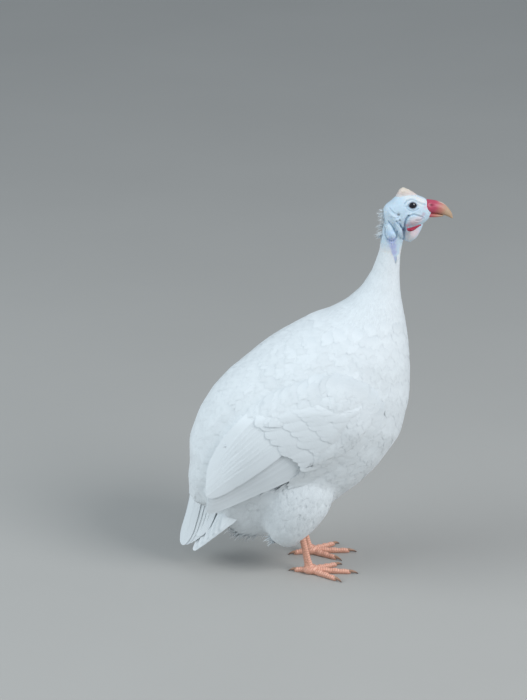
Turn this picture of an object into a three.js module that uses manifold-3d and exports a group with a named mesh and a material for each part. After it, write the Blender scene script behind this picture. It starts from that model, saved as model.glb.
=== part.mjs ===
// A white helmeted guinea fowl, life size, standing upright and still.
// Millimetres, +Z up, +X the way the bird faces and +Y its left side. The floor is at Z = 0 and the origin is
// at the middle of the space that the bird stands in. Flesh is lofted round a spine that runs from the vent
// to the head. Flight feathers, tail feathers and coverts are thin vanes that overlap in tiers.
import * as THREE from 'three';
import { mergeVertices } from 'three/addons/utils/BufferGeometryUtils.js';
import Module from 'manifold-3d';

const wasm = await Module();
wasm.setup();

const GAP = 0.3; // air between pieces that touch
const SEED = 41;

// Stations of the whole body, from the vent to the inside of the head. x and z place the spine, back and belly
// are the distances from it to the bird's upper and lower outline, and half is half the width.
const BODY = [
  { x: -131, z: 74, back: 12, belly: 16, half: 8 },
  { x: -125, z: 81, back: 22, belly: 50, half: 26 },
  { x: -116, z: 89, back: 32, belly: 77, half: 37 },
  { x: -88, z: 117, back: 71.5, belly: 106, half: 53.5 },
  { x: -52, z: 147, back: 91, belly: 100, half: 68 },
  { x: -14, z: 179, back: 93, belly: 101, half: 76 },
  { x: 24, z: 215, back: 89.5, belly: 92, half: 77.5 },
  { x: 52, z: 257, back: 73, belly: 61, half: 64 },
  { x: 68, z: 294, back: 46.5, belly: 34, half: 41 },
  { x: 76, z: 332, back: 23, belly: 17, half: 21 },
  { x: 81, z: 371, back: 13, belly: 12.2, half: 12.5 },
  { x: 85, z: 398, back: 12.6, belly: 12, half: 11.8 },
];
const NECK_STATION = 8.35; // where the torso ends and the neck begins
const HEAD_CUT = { x: 82, z: 381, tilt: 0.12 };

// The folded wing lies on a mantle a little outside the torso, wider than it where the wing tip stands free.
const MANTLE = [
  { x: -150, z: 55, back: 50, belly: 60, half: 34 },
  { x: -131, z: 74, back: 60, belly: 75, half: 46 },
  { x: -116, z: 89, back: 66, belly: 90, half: 53 },
  { x: -88, z: 117, back: 76, belly: 110, half: 60.5 },
  { x: -52, z: 147, back: 93, belly: 104, half: 73 },
  { x: -14, z: 179, back: 95, belly: 104, half: 80 },
  { x: 24, z: 215, back: 91.5, belly: 95, half: 80.5 },
  { x: 52, z: 257, back: 75, belly: 64, half: 66.5 },
  { x: 68, z: 294, back: 48, belly: 36, half: 42.5 },
];
const WING_WALL = 7;
// Outline of the folded wing seen from the side.
const WING_OUTLINE = [
  [72, 214], [60, 238], [34, 252], [0, 246], [-46, 220], [-84, 186], [-102, 158],
  [-110, 128], [-114, 100], [-112, 87], [-92, 94], [-58, 111], [-27, 128], [8, 145], [44, 172],
];

// The skull, from the nape forward, with its crown and jaw measured from the middle of the head.
const SKULL = [
  { x: 72.5, z: 414, back: 3, belly: 6, half: 3 },
  { x: 75, z: 414, back: 7.5, belly: 16, half: 8 },
  { x: 80.5, z: 414, back: 12, belly: 20, half: 11.5 },
  { x: 87, z: 414, back: 17.6, belly: 20.5, half: 13.6 },
  { x: 96, z: 414, back: 20.4, belly: 20, half: 14.6 },
  { x: 104, z: 414, back: 19.8, belly: 18, half: 14 },
  { x: 111, z: 414, back: 17.4, belly: 16, half: 12.2 },
  { x: 117, z: 414, back: 14.6, belly: 12, half: 9.6 },
  { x: 121, z: 414, back: 11, belly: 8, half: 7 },
  { x: 123.5, z: 414, back: 5.6, belly: 4, half: 4 },
];
// The loose skin that hangs under the chin, from the chin down.
const DEWLAP = [
  { x: 112, z: 408, back: 5, belly: 5, half: 4.5 },
  { x: 108, z: 401, back: 7.8, belly: 8, half: 6.8 },
  { x: 103.6, z: 393, back: 8.6, belly: 9, half: 7.6 },
  { x: 101, z: 386, back: 7.2, belly: 8, half: 6.4 },
  { x: 100, z: 380.6, back: 3.4, belly: 4, half: 3.2 },
];
// The bony casque on the crown, from its foot up.
const CASQUE = [
  { x: 93, z: 431, back: 7.4, belly: 17, half: 5.6 },
  { x: 93, z: 434.6, back: 5.8, belly: 13, half: 4.6 },
  { x: 93, z: 438, back: 4, belly: 7.2, half: 3.3 },
  { x: 93, z: 440, back: 2, belly: 3.2, half: 1.9 },
  { x: 93, z: 440.8, back: 0.8, belly: 1, half: 0.7 },
];
const BILL_UPPER = [
  { x: 115, z: 420, back: 7, belly: 5.4, half: 6.6 },
  { x: 120, z: 420, back: 7.6, belly: 6.6, half: 7.2 },
  { x: 128, z: 419.4, back: 7, belly: 7, half: 6.2 },
  { x: 134.5, z: 417, back: 6.5, belly: 5.9, half: 4.9 },
  { x: 139.5, z: 413.9, back: 5, belly: 4.4, half: 3.7 },
  { x: 143.5, z: 410.6, back: 3.3, belly: 2.8, half: 2.4 },
  { x: 146, z: 407.8, back: 1.5, belly: 1.4, half: 1.2 },
  { x: 147, z: 406.4, back: 0.5, belly: 0.5, half: 0.4 },
];
const BILL_LOWER = [
  { x: 113, z: 411, back: 3, belly: 3.6, half: 5.8 },
  { x: 121, z: 410.6, back: 3, belly: 2.8, half: 5.3 },
  { x: 130, z: 410, back: 2, belly: 2.2, half: 3.9 },
  { x: 137, z: 409.6, back: 0.8, belly: 1, half: 1.7 },
];

const EYE = { x: 102.8, y: 6.9, z: 422.9, radius: 6.2 };
const LID = { ring: 5.1, thick: 1.35, out: 3.9 };
const EAR = { x: 88, y: 14, z: 415.2, radius: 1.8, deep: 2.4 };
const NOSTRIL = { x: 123.8, y: 6.1, z: 423.4, long: 2.6, high: 0.9, deep: 1.4, dip: 0.6 };

const FOOT = { x: -4, y: 27, z: 4.6, radii: [9, 7.5, 6] };
const SHANK_TOP = { x: -19.5, z: 66 };
// Each toe: the way it points, in degrees from straight ahead towards the outside, its length and its claw.
const TOES = [
  { name: 'inner', turn: -32, length: 33, claw: 9 },
  { name: 'middle', turn: 3, length: 43, claw: 10 },
  { name: 'outer', turn: 38, length: 34, claw: 9 },
  { name: 'hind', turn: 192, length: 17, claw: 8 },
];

// A repeatable stream of numbers between -1 and 1.
function dice(seed) {
  let state = seed;
  return () => {
    state = (state * 1664525 + 1013904223) % 4294967296;
    return (state / 4294967296) * 2 - 1;
  };
}

// Smooth value between the rows of a column of sizes, at a row number that needn't be whole.
function along(column, row) {
  const i = Math.min(Math.max(Math.floor(row), 0), column.length - 2);
  const f = row - i;
  const at = (k) => column[Math.min(Math.max(k, 0), column.length - 1)];
  const [a, b, c, d] = [at(i - 1), at(i), at(i + 1), at(i + 2)];
  return b + 0.5 * f * (c - a + f * (2 * a - 5 * b + 4 * c - d + f * (3 * (b - c) + d - a)));
}

// One station between the rows of a table of named sizes.
function station(table, row) {
  const made = {};
  for (const key of Object.keys(table[0])) made[key] = along(table.map((r) => r[key]), row);
  return made;
}

// A closed solid from points and triangles, turned the right way out.
function solid(points, faces) {
  let volume = 0;
  for (const [a, b, c] of faces) volume += points[a].dot(points[b].clone().cross(points[c]));
  const turned = volume < 0 ? faces.map(([a, b, c]) => [a, c, b]) : faces;
  return new wasm.Manifold(new wasm.Mesh({
    numProp: 3,
    vertProperties: new Float32Array(points.flatMap((p) => [p.x, p.y, p.z])),
    triVerts: new Uint32Array(turned.flat()),
  }));
}

// A solid through rings of points, its ends closed on their own middles. crossed lists the sides whose quads
// are split along the other diagonal.
function skinned(rings, crossed = []) {
  const sides = rings[0].length;
  const points = rings.flat();
  const faces = [];
  for (let r = 0; r + 1 < rings.length; r++)
    for (let s = 0; s < sides; s++) {
      const [a, b] = [r * sides + s, r * sides + ((s + 1) % sides)];
      if (crossed.includes(s)) faces.push([a, b, a + sides], [b, b + sides, a + sides]);
      else faces.push([a, b, b + sides], [a, b + sides, a + sides]);
    }
  const middle = (ring) => ring.reduce((sum, p) => sum.add(p), new THREE.Vector3()).divideScalar(sides);
  const first = points.push(middle(rings[0])) - 1;
  const last = points.push(middle(rings.at(-1))) - 1;
  const end = (rings.length - 1) * sides;
  for (let s = 0; s < sides; s++) {
    const next = (s + 1) % sides;
    faces.push([first, next, s], [last, end + s, end + next]);
  }
  return solid(points, faces);
}

// The spine's place and direction at a row of a table, in the plane of the bird's middle.
function spineAt(table, row) {
  const s = station(table, row);
  const p = station(table, Math.max(row - 0.05, 0));
  const q = station(table, Math.min(row + 0.05, table.length - 1));
  const ahead = new THREE.Vector3(q.x - p.x, 0, q.z - p.z).normalize();
  return { ...s, centre: new THREE.Vector3(s.x, 0, s.z), ahead, up: new THREE.Vector3(-ahead.z, 0, ahead.x) };
}

// A closed loft round a table's spine, its surface pushed out everywhere by grow. Both sides are split into
// triangles as mirror images.
function loft(table, steps, sides, grow = 0, from = 0, to = table.length - 1) {
  const rings = [];
  for (let k = 0; k <= steps; k++) {
    const at = spineAt(table, from + ((to - from) * k) / steps);
    const endwards = k === 0 ? -grow : k === steps ? grow : 0;
    const ring = [];
    for (let s = 0; s < sides; s++) {
      const angle = (2 * Math.PI * s) / sides;
      const height = Math.cos(angle) * ((Math.cos(angle) > 0 ? at.back : at.belly) + grow);
      ring.push(at.centre.clone()
        .addScaledVector(at.ahead, endwards)
        .addScaledVector(at.up, height)
        .add(new THREE.Vector3(0, Math.sin(angle) * (at.half + grow), 0)));
    }
    rings.push(ring);
  }
  const leftSides = [...Array(sides).keys()].filter((s) => 2 * s >= sides);
  return skinned(rings, leftSides);
}

// A closed limb through rows of [x, y, z, radius towards ref, radius across it], made wider all round by grow.
function limb(rows, steps, sides, ref, grow = 0) {
  const columns = [0, 1, 2, 3, 4].map((c) => rows.map((r) => r[c]));
  const place = (row) => new THREE.Vector3(...columns.slice(0, 3).map((c) => along(c, row)));
  const rings = [];
  for (let k = 0; k <= steps; k++) {
    const row = ((rows.length - 1) * k) / steps;
    const behind = place(Math.max(row - 0.05, 0));
    const ahead = place(Math.min(row + 0.05, rows.length - 1)).sub(behind).normalize();
    const across = ahead.clone().cross(ref).normalize();
    const up = across.clone().cross(ahead);
    const [high, wide] = [along(columns[3], row) + grow, along(columns[4], row) + grow];
    const endwards = k === 0 ? -grow : k === steps ? grow : 0;
    const ring = [];
    for (let s = 0; s < sides; s++) {
      const angle = (2 * Math.PI * (s + 0.5)) / sides;
      ring.push(place(row).addScaledVector(ahead, endwards)
        .addScaledVector(up, high * Math.cos(angle)).addScaledVector(across, wide * Math.sin(angle)));
    }
    rings.push(ring);
  }
  return skinned(rings);
}

// A three.js geometry as a solid, after its place is applied.
function fromGeometry(geometry, matrix = new THREE.Matrix4()) {
  const bare = geometry.clone().applyMatrix4(matrix);
  bare.deleteAttribute('normal');
  bare.deleteAttribute('uv');
  const merged = mergeVertices(bare, 1e-4);
  const spots = merged.attributes.position;
  const points = [...Array(spots.count).keys()].map((i) => new THREE.Vector3().fromBufferAttribute(spots, i));
  const index = merged.index.array;
  const count = index.length / 3;
  const faces = [...Array(count).keys()].map((i) => [index[3 * i], index[3 * i + 1], index[3 * i + 2]]);
  return solid(points, faces);
}

function ellipsoid(centre, radii, turn = new THREE.Quaternion(), columns = 14, rows = 9) {
  const place = new THREE.Matrix4().compose(centre, turn, new THREE.Vector3(...radii));
  return fromGeometry(new THREE.SphereGeometry(1, columns, rows), place);
}

const join = (first, ...rest) => rest.reduce((sum, piece) => sum.add(piece), first);
const cut = (first, ...rest) => rest.reduce((left, piece) => left.subtract(piece), first);
const largest = (made) => made.decompose().sort((a, b) => b.volume() - a.volume())[0];
const tidied = (made) => largest(largest(made).simplify(0.08));
const mirrored = (points) => points.map((p) => new THREE.Vector3(p.x, -p.y, p.z));

// Shares of a vane's length where its width is given, and the widths there.
const LONG_VANE = { at: [0, 0.35, 0.88, 1], wide: [0.7, 1, 0.8, 0.25] };
const SHORT_VANE = { at: [0, 0.5, 0.87, 1], wide: [0.7, 1, 0.78, 0.28] };

// A feather's vane: a thin closed plate along middles, curved down at both edges, with its faces split alike.
function vane(shape, middleAt, normalAt, half, { thick = 0.7, roll = 0, droop = 0.12 } = {}) {
  const rings = shape.at.map((f, k) => {
    const [centre, normal] = [middleAt(f), normalAt(f)];
    const ahead = middleAt(Math.min(f + 0.02, 1)).sub(middleAt(Math.max(f - 0.02, 0))).normalize();
    const side = normal.clone().cross(ahead).normalize();
    const wide = half * shape.wide[k];
    const edge = (sign) => centre.clone().addScaledVector(side, sign * wide)
      .addScaledVector(normal, wide * (sign * roll - droop));
    const [left, right] = [edge(1), edge(-1)];
    const raise = (p, by) => p.clone().addScaledVector(normal, by);
    const h = thick / 2;
    const top = [left, centre, right].map((spot) => raise(spot, h));
    const under = [right, centre, left].map((spot) => raise(spot, -h));
    return [...top, ...under];
  });
  return skinned(rings, [3, 4]);
}

// Row of a table whose ring passes through a point of the side view.
function rowThrough(table, x, z) {
  let [low, high] = [0, table.length - 1];
  for (let k = 0; k < 40; k++) {
    const middle = (low + high) / 2;
    const s = spineAt(table, middle);
    if ((x - s.x) * s.ahead.x + (z - s.z) * s.ahead.z > 0) low = middle;
    else high = middle;
  }
  return (low + high) / 2;
}

// Half width of a table's surface at a point of the side view.
function halfWidthAt(table, x, z) {
  const s = spineAt(table, rowThrough(table, x, z));
  const rise = (x - s.x) * s.up.x + (z - s.z) * s.up.z;
  const share = Math.min(Math.abs(rise) / (rise > 0 ? s.back : s.belly), 0.95);
  return s.half * Math.sqrt(1 - share * share);
}

// Point and outward normal of the right side of the mantle at a point of the side view.
function onMantle(x, z, lift) {
  const step = 2;
  const width = (dx, dz) => halfWidthAt(MANTLE, x + dx, z + dz);
  const slope = (dx, dz) => (width(dx, dz) - width(-dx, -dz)) / (2 * step);
  const normal = new THREE.Vector3(-slope(step, 0), -1, -slope(0, step)).normalize();
  const point = new THREE.Vector3(x, -halfWidthAt(MANTLE, x, z), z).addScaledVector(normal, lift);
  return { point, normal };
}

// A wing feather between a root and a tip in the side view. lifts are its heights over the mantle at both.
function wingVane(shape, root, tip, half, lifts, { bow = 0, roll = 0.09, thick = 0.7 } = {}) {
  const across = [-(tip[1] - root[1]), tip[0] - root[0]];
  const length = Math.hypot(...across);
  const bent = (f, c) => (4 * bow * f * (1 - f) * across[c]) / length;
  const spot = (f) => [0, 1].map((c) => root[c] + (tip[c] - root[c]) * f + bent(f, c));
  const lift = (f) => lifts[0] + (lifts[1] - lifts[0]) * f;
  const middleAt = (f) => onMantle(...spot(f), lift(f)).point;
  const normalAt = (f) => onMantle(...spot(f), 0).normal;
  return vane(shape, middleAt, normalAt, half, { thick, roll, droop: 0.03 });
}

const mix = (a, b, f) => a + (b - a) * f;
const mixPoint = (a, b, f) => [mix(a[0], b[0], f), mix(a[1], b[1], f)];

// Wing: a curved wall on the mantle, with flight feathers and three kinds of covert over it.
function wing(torsoOutside) {
  const curve = new THREE.SplineCurve(WING_OUTLINE.map((p) => new THREE.Vector2(...p)));
  const outline = new THREE.Shape(curve.getPoints(20));
  const prism = new THREE.ExtrudeGeometry(outline, { depth: 120, bevelEnabled: false, curveSegments: 1 });
  const wall = cut(loft(MANTLE, 11, 16), loft(MANTLE, 6, 10, -WING_WALL), torsoOutside)
    .intersect(fromGeometry(prism, new THREE.Matrix4().makeRotationX(Math.PI / 2)));
  const pieces = [];
  const throwDice = dice(SEED);
  // Flight feathers under the diagonal of the folded wing, the lowest first and each over the last.
  const flights = 6;
  for (let i = 0; i < flights; i++) {
    const f = i / (flights - 1);
    const root = mixPoint([32, 170], [-2, 202], f);
    const tip = mixPoint([-118, 83], [-115, 103], f);
    const lifts = [-2 + 0.2 * i, 0.4 + i];
    pieces.push(wingVane(LONG_VANE, root, tip, 9 + 1.5 * f, lifts, { bow: mix(-3, 0, f), roll: 0.06 }));
  }
  // Inner secondaries and tertials, whose tips make the wing's rear edge.
  const inners = 4;
  for (let i = 0; i < inners; i++) {
    const f = i / (inners - 1);
    const root = mixPoint([-6, 203], [-16, 232], f);
    const tip = mixPoint([-116, 112], [-100, 163], f);
    const lifts = [-1.5, 6.2 - 0.5 * i];
    pieces.push(wingVane(LONG_VANE, root, tip, 14 - f, lifts, { bow: mix(0, -4, f), roll: 0.09 }));
  }
  // Coverts in rows from the trailing one forward, laid like shingles over the row behind them.
  const rows = [
    { count: 6, low: [22, 175], high: [-14, 226], length: 52 },
    { count: 5, low: [42, 188], high: [12, 234], length: 43 },
    { count: 5, low: [58, 204], high: [36, 240], length: 34 },
  ];
  for (const row of rows)
    for (let i = 0; i < row.count; i++) {
      const f = i / (row.count - 1);
      const root = mixPoint(row.low, row.high, f);
      const turn = mix(-2.58, -2.44, f) + 0.03 * throwDice();
      const length = row.length * (1 + 0.05 * throwDice());
      const tip = [root[0] + length * Math.cos(turn), root[1] + length * Math.sin(turn)];
      pieces.push(wingVane(SHORT_VANE, root, tip, 11, [-1.2, row === rows[0] ? 4.6 : 2.6], { roll: 0.12 }));
    }
  return tidied(cut(join(wall, ...pieces), torsoOutside));
}

// The tail's root under the rump, from the rump down.
const TAIL_ROOT = [
  [-121, 0, 143, 9, 22],
  [-128, 0, 122, 12, 29],
  [-129, 0, 98, 12.5, 29],
  [-126, 0, 74, 11, 24],
  [-130, 0, 54, 8, 17],
  [-134, 0, 44, 3, 8],
];

const tailRoot = (grow = 0) => limb(TAIL_ROOT, 6, 12, FORWARD, grow);

// Tail: a fleshy root, a folded fan of tail feathers, two tiers of coverts over it and one under it.
function tail(torsoOutside) {
  const pieces = [];
  const spread = (root, tip, lean, half, shape, sweep = 4) => {
    for (const side of [-1, 1]) {
      const start = new THREE.Vector3(root[0], side * root[1], root[2]);
      const stop = new THREE.Vector3(tip[0], side * tip[1], tip[2]);
      const normal = new THREE.Vector3(-Math.cos(lean), side * Math.sin(lean), 0.25).normalize();
      const flare = (f) => start.clone().lerp(stop, f).add(new THREE.Vector3(sweep * f * (1 - f), 0, 0));
      pieces.push(vane(shape, flare, () => normal, half, { thick: 0.8, roll: 0, droop: 0.08 }));
    }
  };
  const pairs = 7;
  for (let i = 0; i < pairs; i++) {
    const f = i / (pairs - 1);
    const root = [mix(-134, -120, f), mix(4, 20, f), mix(104, 84, f)];
    const tip = [mix(-151.5, -100, f ** 1.25), mix(5, 36, f), mix(23, 52, f ** 2) - 15 * f * (1 - f)];
    spread(root, tip, mix(0.1, 1.1, f), mix(10.5, 11, f), LONG_VANE, mix(16, 4, f));
  }
  for (let i = 0; i < 4; i++) {
    const f = i / 3;
    const root = [mix(-134, -128, f), mix(4, 24, f), mix(118, 110, f)];
    const tip = [mix(-143.5, -130, f), mix(5, 35, f), mix(52, 60, f)];
    spread(root, tip, mix(0.12, 0.9, f), 9.5, SHORT_VANE, 6);
  }
  for (let i = 0; i < 3; i++) {
    const f = i / 2;
    const root = [mix(-130, -125, f), mix(5, 18, f), mix(138, 133, f)];
    spread(root, [mix(-141.5, -133, f), mix(5, 29, f), mix(86, 92, f)], mix(0.12, 0.75, f), 10, SHORT_VANE);
  }
  return tidied(join(tailRoot(), cut(join(...pieces), torsoOutside)));
}

// Feathered thigh on the right side, from the hip down to the hock.
const THIGH = [
  [-15, -30, 142, 20, 14],
  [-15, -34, 126, 35, 28],
  [-19, -36, 98, 41, 31],
  [-27, -34, 67, 32, 26],
  [-27, -31, 48, 23, 18],
  [-20, -27, 37, 7, 6],
];
const SIDEWAYS = new THREE.Vector3(0, 1, 0);
const FORWARD = new THREE.Vector3(1, 0, 0);
const UPWARD = new THREE.Vector3(0, 0, 1);
const thigh = (grow = 0) => limb(THIGH, 9, 14, FORWARD, grow);

// Ball of the foot, on which the shank stands.
function ball(grow = 0) {
  const radii = FOOT.radii.map((radius) => radius + grow);
  const made = ellipsoid(new THREE.Vector3(FOOT.x, -FOOT.y, FOOT.z), radii, undefined, 10, 7);
  return made.trimByPlane([0, 0, 1], -grow);
}

// Scaly shank with plates that overlap down its front.
function shank(...others) {
  const plates = 9;
  const foot = { x: FOOT.x - 1.8, z: 7 };
  const rings = [];
  const sides = 8;
  for (let k = 0; k < plates; k++)
    for (const [f, out] of [[0.02, 0], [0.9, 0.55]]) {
      const share = (k + f) / plates;
      const [x, z] = [mix(SHANK_TOP.x, foot.x, share), mix(SHANK_TOP.z, foot.z, share)];
      const centre = new THREE.Vector3(x, -FOOT.y, z);
      const swell = 1 + 0.45 * share ** 6 + 0.5 * (1 - share) ** 6;
      const ring = [];
      for (let s = 0; s < sides; s++) {
        const angle = (2 * Math.PI * s) / sides;
        const front = Math.max(Math.cos(angle), 0) * out;
        ring.push(centre.clone().add(new THREE.Vector3((3.5 * swell + front) * Math.cos(angle),
          (2.7 * swell + 0.4 * front) * Math.sin(angle), 0)));
      }
      rings.push(ring);
    }
  return largest(cut(skinned(rings), ...others));
}

// A toe of the right foot, flat under its sole, with a swelling at each joint.
function toe({ turn, length }, grow = 0) {
  const angle = -THREE.MathUtils.degToRad(turn);
  const joints = length > 20 ? 3 : 1;
  const rows = [];
  const count = 2 * joints + 1;
  for (let k = 0; k <= count; k++) {
    const f = k / count;
    const reach = 4 + (length - 4) * f;
    const pad = (k % 2 ? 0.55 : 0) * (1 - 0.4 * f);
    const high = mix(4, 2.5, f) + pad;
    const [x, y] = [FOOT.x + reach * Math.cos(angle), -FOOT.y + reach * Math.sin(angle)];
    rows.push([x, y, high * 0.82, high, mix(3.3, 2.2, f) + pad]);
  }
  return limb(rows, count - 1, 8, UPWARD, grow).trimByPlane([0, 0, 1], -grow);
}

function claw({ turn, length, claw: reach }) {
  const angle = -THREE.MathUtils.degToRad(turn);
  const rows = [[-1.5, 2.9, 1.9, 1.6], [0.2, 3.1, 1.8, 1.45], [0.65, 2.2, 1.15, 0.9], [1, 0.3, 0.5, 0.4]].map(
    ([share, z, high, wide]) => {
      const out = length + (share < 0 ? share : share * reach);
      return [FOOT.x + out * Math.cos(angle), -FOOT.y + out * Math.sin(angle), z, high, wide];
    });
  return limb(rows, 4, 6, UPWARD).trimByPlane([0, 0, 1], 0);
}

// The skin's folds on the nape and the side of the throat, and the wattle's root.
const FOLDS = [
  [
    [84, -13.2, 411, 1.6, 1.2], [87.5, -13.4, 403, 2.4, 1.8], [90.5, -11.8, 394, 2.6, 2],
    [93, -8.5, 387, 1.8, 1.5],
  ],
  [[77, -8.6, 402, 1.8, 1.6], [80, -10.6, 396, 4.2, 3], [82, -10.4, 390, 4, 3], [83.5, -10.4, 385, 2, 1.8]],
  [[77.5, -8.5, 417, 1.4, 1.3], [82, -12.4, 413, 2.4, 2], [88.5, -14.2, 408, 1.6, 1.4]],
];
const WATTLE = [
  [113, -9, 402.6, 1.8, 1.5],
  [109.5, -11.4, 401, 2.9, 1.8],
  [105, -14, 399.4, 4, 2],
  [100.5, -16, 398, 3.6, 1.9],
  [97.4, -17, 397.6, 1.6, 1.2],
];

// Locks of wiry feathers that stand off the nape, and short ones under them.
function napeLocks() {
  const locks = [];
  for (let i = 0; i < 7; i++) {
    const across = (i - 3) * 2.1;
    const [low, long] = [(i % 3) * 3.5, 12 - Math.abs(across) * 0.45];
    locks.push(limb([
      [77.5, across * 0.9, 412 - low, 0.8, 1.5],
      [73.5 - long * 0.5, across * 1.1, 413.5 - low, 0.6, 1.5],
      [72 - long * 0.95, across * 1.25, 409 - low, 0.3, 0.5],
    ], 3, 4, UPWARD));
  }
  return locks;
}

function eyeball(side, grow = 0) {
  const radii = Array(3).fill(EYE.radius + grow);
  return ellipsoid(new THREE.Vector3(EYE.x, side * EYE.y, EYE.z), radii, undefined, 12, 8);
}

function lids(side) {
  const outward = new THREE.Vector3(0.08, side * 0.93, 0.36).normalize();
  const centre = new THREE.Vector3(EYE.x, side * EYE.y, EYE.z).addScaledVector(outward, LID.out);
  const turn = new THREE.Quaternion().setFromUnitVectors(UPWARD, outward);
  const place = new THREE.Matrix4().compose(centre, turn, new THREE.Vector3(1.04, 0.98, 1));
  return fromGeometry(new THREE.TorusGeometry(LID.ring, LID.thick, 5, 12), place);
}

const flip = (made) => {
  const mesh = made.getMesh();
  const points = [];
  for (let i = 0; i < mesh.numVert; i++) {
    points.push(new THREE.Vector3(...mesh.vertProperties.slice(3 * i, 3 * i + 3)));
  }
  const faces = [];
  for (let i = 0; i < mesh.numTri; i++) faces.push([...mesh.triVerts.slice(3 * i, 3 * i + 3)]);
  return solid(mirrored(points), faces);
};

// Flesh, made whole and then parted with thin cuts.
const bodyWhole = loft(BODY, 20, 20);
const bodyOutside = loft(BODY, 20, 20, GAP + 0.05);
const neckAt = spineAt(BODY, NECK_STATION);
const neckPlane = [neckAt.ahead.x, 0, neckAt.ahead.z];
const neckOffset = neckAt.centre.dot(neckAt.ahead);
const headTilt = new THREE.Vector3(HEAD_CUT.tilt, 0, 1).normalize();
const headPlane = [headTilt.x, 0, headTilt.z];
const headOffset = HEAD_CUT.x * headTilt.x + HEAD_CUT.z * headTilt.z;
const back = (plane) => plane.map((v) => -v);

const rightThigh = thigh();
const thighs = [thigh(GAP), flip(thigh(GAP))];
const trunk = cut(bodyWhole, ...thighs, tailRoot(GAP));
const torso = largest(trunk.trimByPlane(back(neckPlane), -neckOffset + GAP / 2));
const aboveTorso = bodyWhole.trimByPlane(neckPlane, neckOffset + GAP / 2);
const neck = largest(aboveTorso.trimByPlane(back(headPlane), -headOffset + GAP / 2));

const upper = (grow = 0) => loft(BILL_UPPER, 9, 10, grow);
const lower = (grow = 0) => loft(BILL_LOWER, 4, 8, grow);
const folds = FOLDS.map((rows) => limb(rows, 4, 5, FORWARD));
const sockets = [-1, 1].map((side) => eyeball(side, GAP));
const ears = [-1, 1].map((side) => {
  const centre = new THREE.Vector3(EAR.x, side * EAR.y, EAR.z);
  return ellipsoid(centre, [EAR.radius * 0.8, EAR.deep, EAR.radius], undefined, 8, 5);
});
const fleshOfHead = join(loft(BODY, 3, 16, 0, 10, 11), loft(SKULL, 10, 16), loft(DEWLAP, 5, 10));
const headCore = join(fleshOfHead, ...folds, ...folds.map(flip), lids(-1), lids(1), ...napeLocks());
const head = tidied(cut(headCore, upper(GAP), lower(GAP), ...sockets, ...ears)
  .trimByPlane(headPlane, headOffset + GAP / 2));
const headOutside = join(loft(SKULL, 10, 16, GAP), loft(DEWLAP, 5, 10, GAP), loft(BODY, 3, 16, GAP, 10, 11));

function nostril(side) {
  const turn = new THREE.Quaternion().setFromAxisAngle(SIDEWAYS, NOSTRIL.dip);
  return ellipsoid(new THREE.Vector3(NOSTRIL.x, side * NOSTRIL.y, NOSTRIL.z),
    [NOSTRIL.long, NOSTRIL.deep, NOSTRIL.high], turn, 8, 5);
}

const billUpper = largest(cut(upper(), nostril(-1), nostril(1)));
const billLower = largest(cut(lower(), upper(GAP)));
const casque = largest(cut(loft(CASQUE, 6, 12), headOutside));
const wattle = largest(cut(limb(WATTLE, 7, 10, UPWARD), headOutside, lower(GAP)));

const rightWing = wing(bodyOutside);
const tailPiece = tail(bodyOutside);
const rightBall = largest(ball());
const rightShank = shank(ball(GAP), thigh(2 * GAP), bodyOutside);
const middleToe = TOES.find((t) => t.name === 'middle');
const rightToes = TOES.map((t) => {
  const clear = t === middleToe ? [ball(GAP)] : [ball(GAP), toe(middleToe, GAP)];
  return largest(cut(toe(t), ...clear));
});
const rightClaws = TOES.map((t) => largest(cut(claw(t), toe(t, GAP))));

const plumage = new THREE.MeshStandardMaterial({ color: 0xe6edf0, roughness: 0.75 });
const flesh = new THREE.MeshStandardMaterial({ color: 0xcfdfe8, roughness: 0.55 });
const redFlesh = new THREE.MeshStandardMaterial({ color: 0xb8354f, roughness: 0.5 });
const billHorn = new THREE.MeshStandardMaterial({ color: 0xc8687a, roughness: 0.4 });
const casqueHorn = new THREE.MeshStandardMaterial({ color: 0xc9ac9c, roughness: 0.6 });
const scales = new THREE.MeshStandardMaterial({ color: 0xd9875f, roughness: 0.5 });
const clawHorn = new THREE.MeshStandardMaterial({ color: 0xb08a6c, roughness: 0.45 });
const eyeGloss = new THREE.MeshStandardMaterial({ color: 0x14171f, roughness: 0.08 });

const bird = new THREE.Group();

// A solid as a named mesh of the bird. A left piece is its right piece mirrored.
function piece(name, made, material, mirror = false) {
  const { numProp, vertProperties, triVerts } = made.getMesh();
  const geometry = new THREE.BufferGeometry();
  geometry.setAttribute('position', new THREE.BufferAttribute(new Float32Array(vertProperties), numProp));
  geometry.setIndex(new THREE.BufferAttribute(new Uint32Array(triVerts), 1));
  geometry.computeVertexNormals();
  const mesh = new THREE.Mesh(geometry, material);
  mesh.name = name;
  if (mirror) mesh.scale.y = -1;
  bird.add(mesh);
}

function pair(name, made, material) {
  piece(`${name}_right`, made, material);
  piece(`${name}_left`, made, material, true);
}

piece('torso', torso, plumage);
piece('neck', neck, plumage);
piece('head', head, flesh);
piece('casque', casque, casqueHorn);
piece('bill_upper', billUpper, billHorn);
piece('bill_lower', billLower, billHorn);
pair('eye', largest(eyeball(-1)), eyeGloss);
pair('wattle', wattle, redFlesh);
pair('wing', rightWing, plumage);
piece('tail', tailPiece, plumage);
pair('thigh', rightThigh, plumage);
pair('shank', rightShank, scales);
pair('foot', rightBall, scales);
TOES.forEach((t, i) => {
  pair(`toe_${t.name}`, rightToes[i], scales);
  pair(`claw_${t.name}`, rightClaws[i], clawHorn);
});

// The origin goes under the middle of the whole.
const middle = new THREE.Box3().setFromObject(bird, true).getCenter(new THREE.Vector3());
for (const mesh of bird.children) mesh.position.x -= middle.x;

export default bird;
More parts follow.
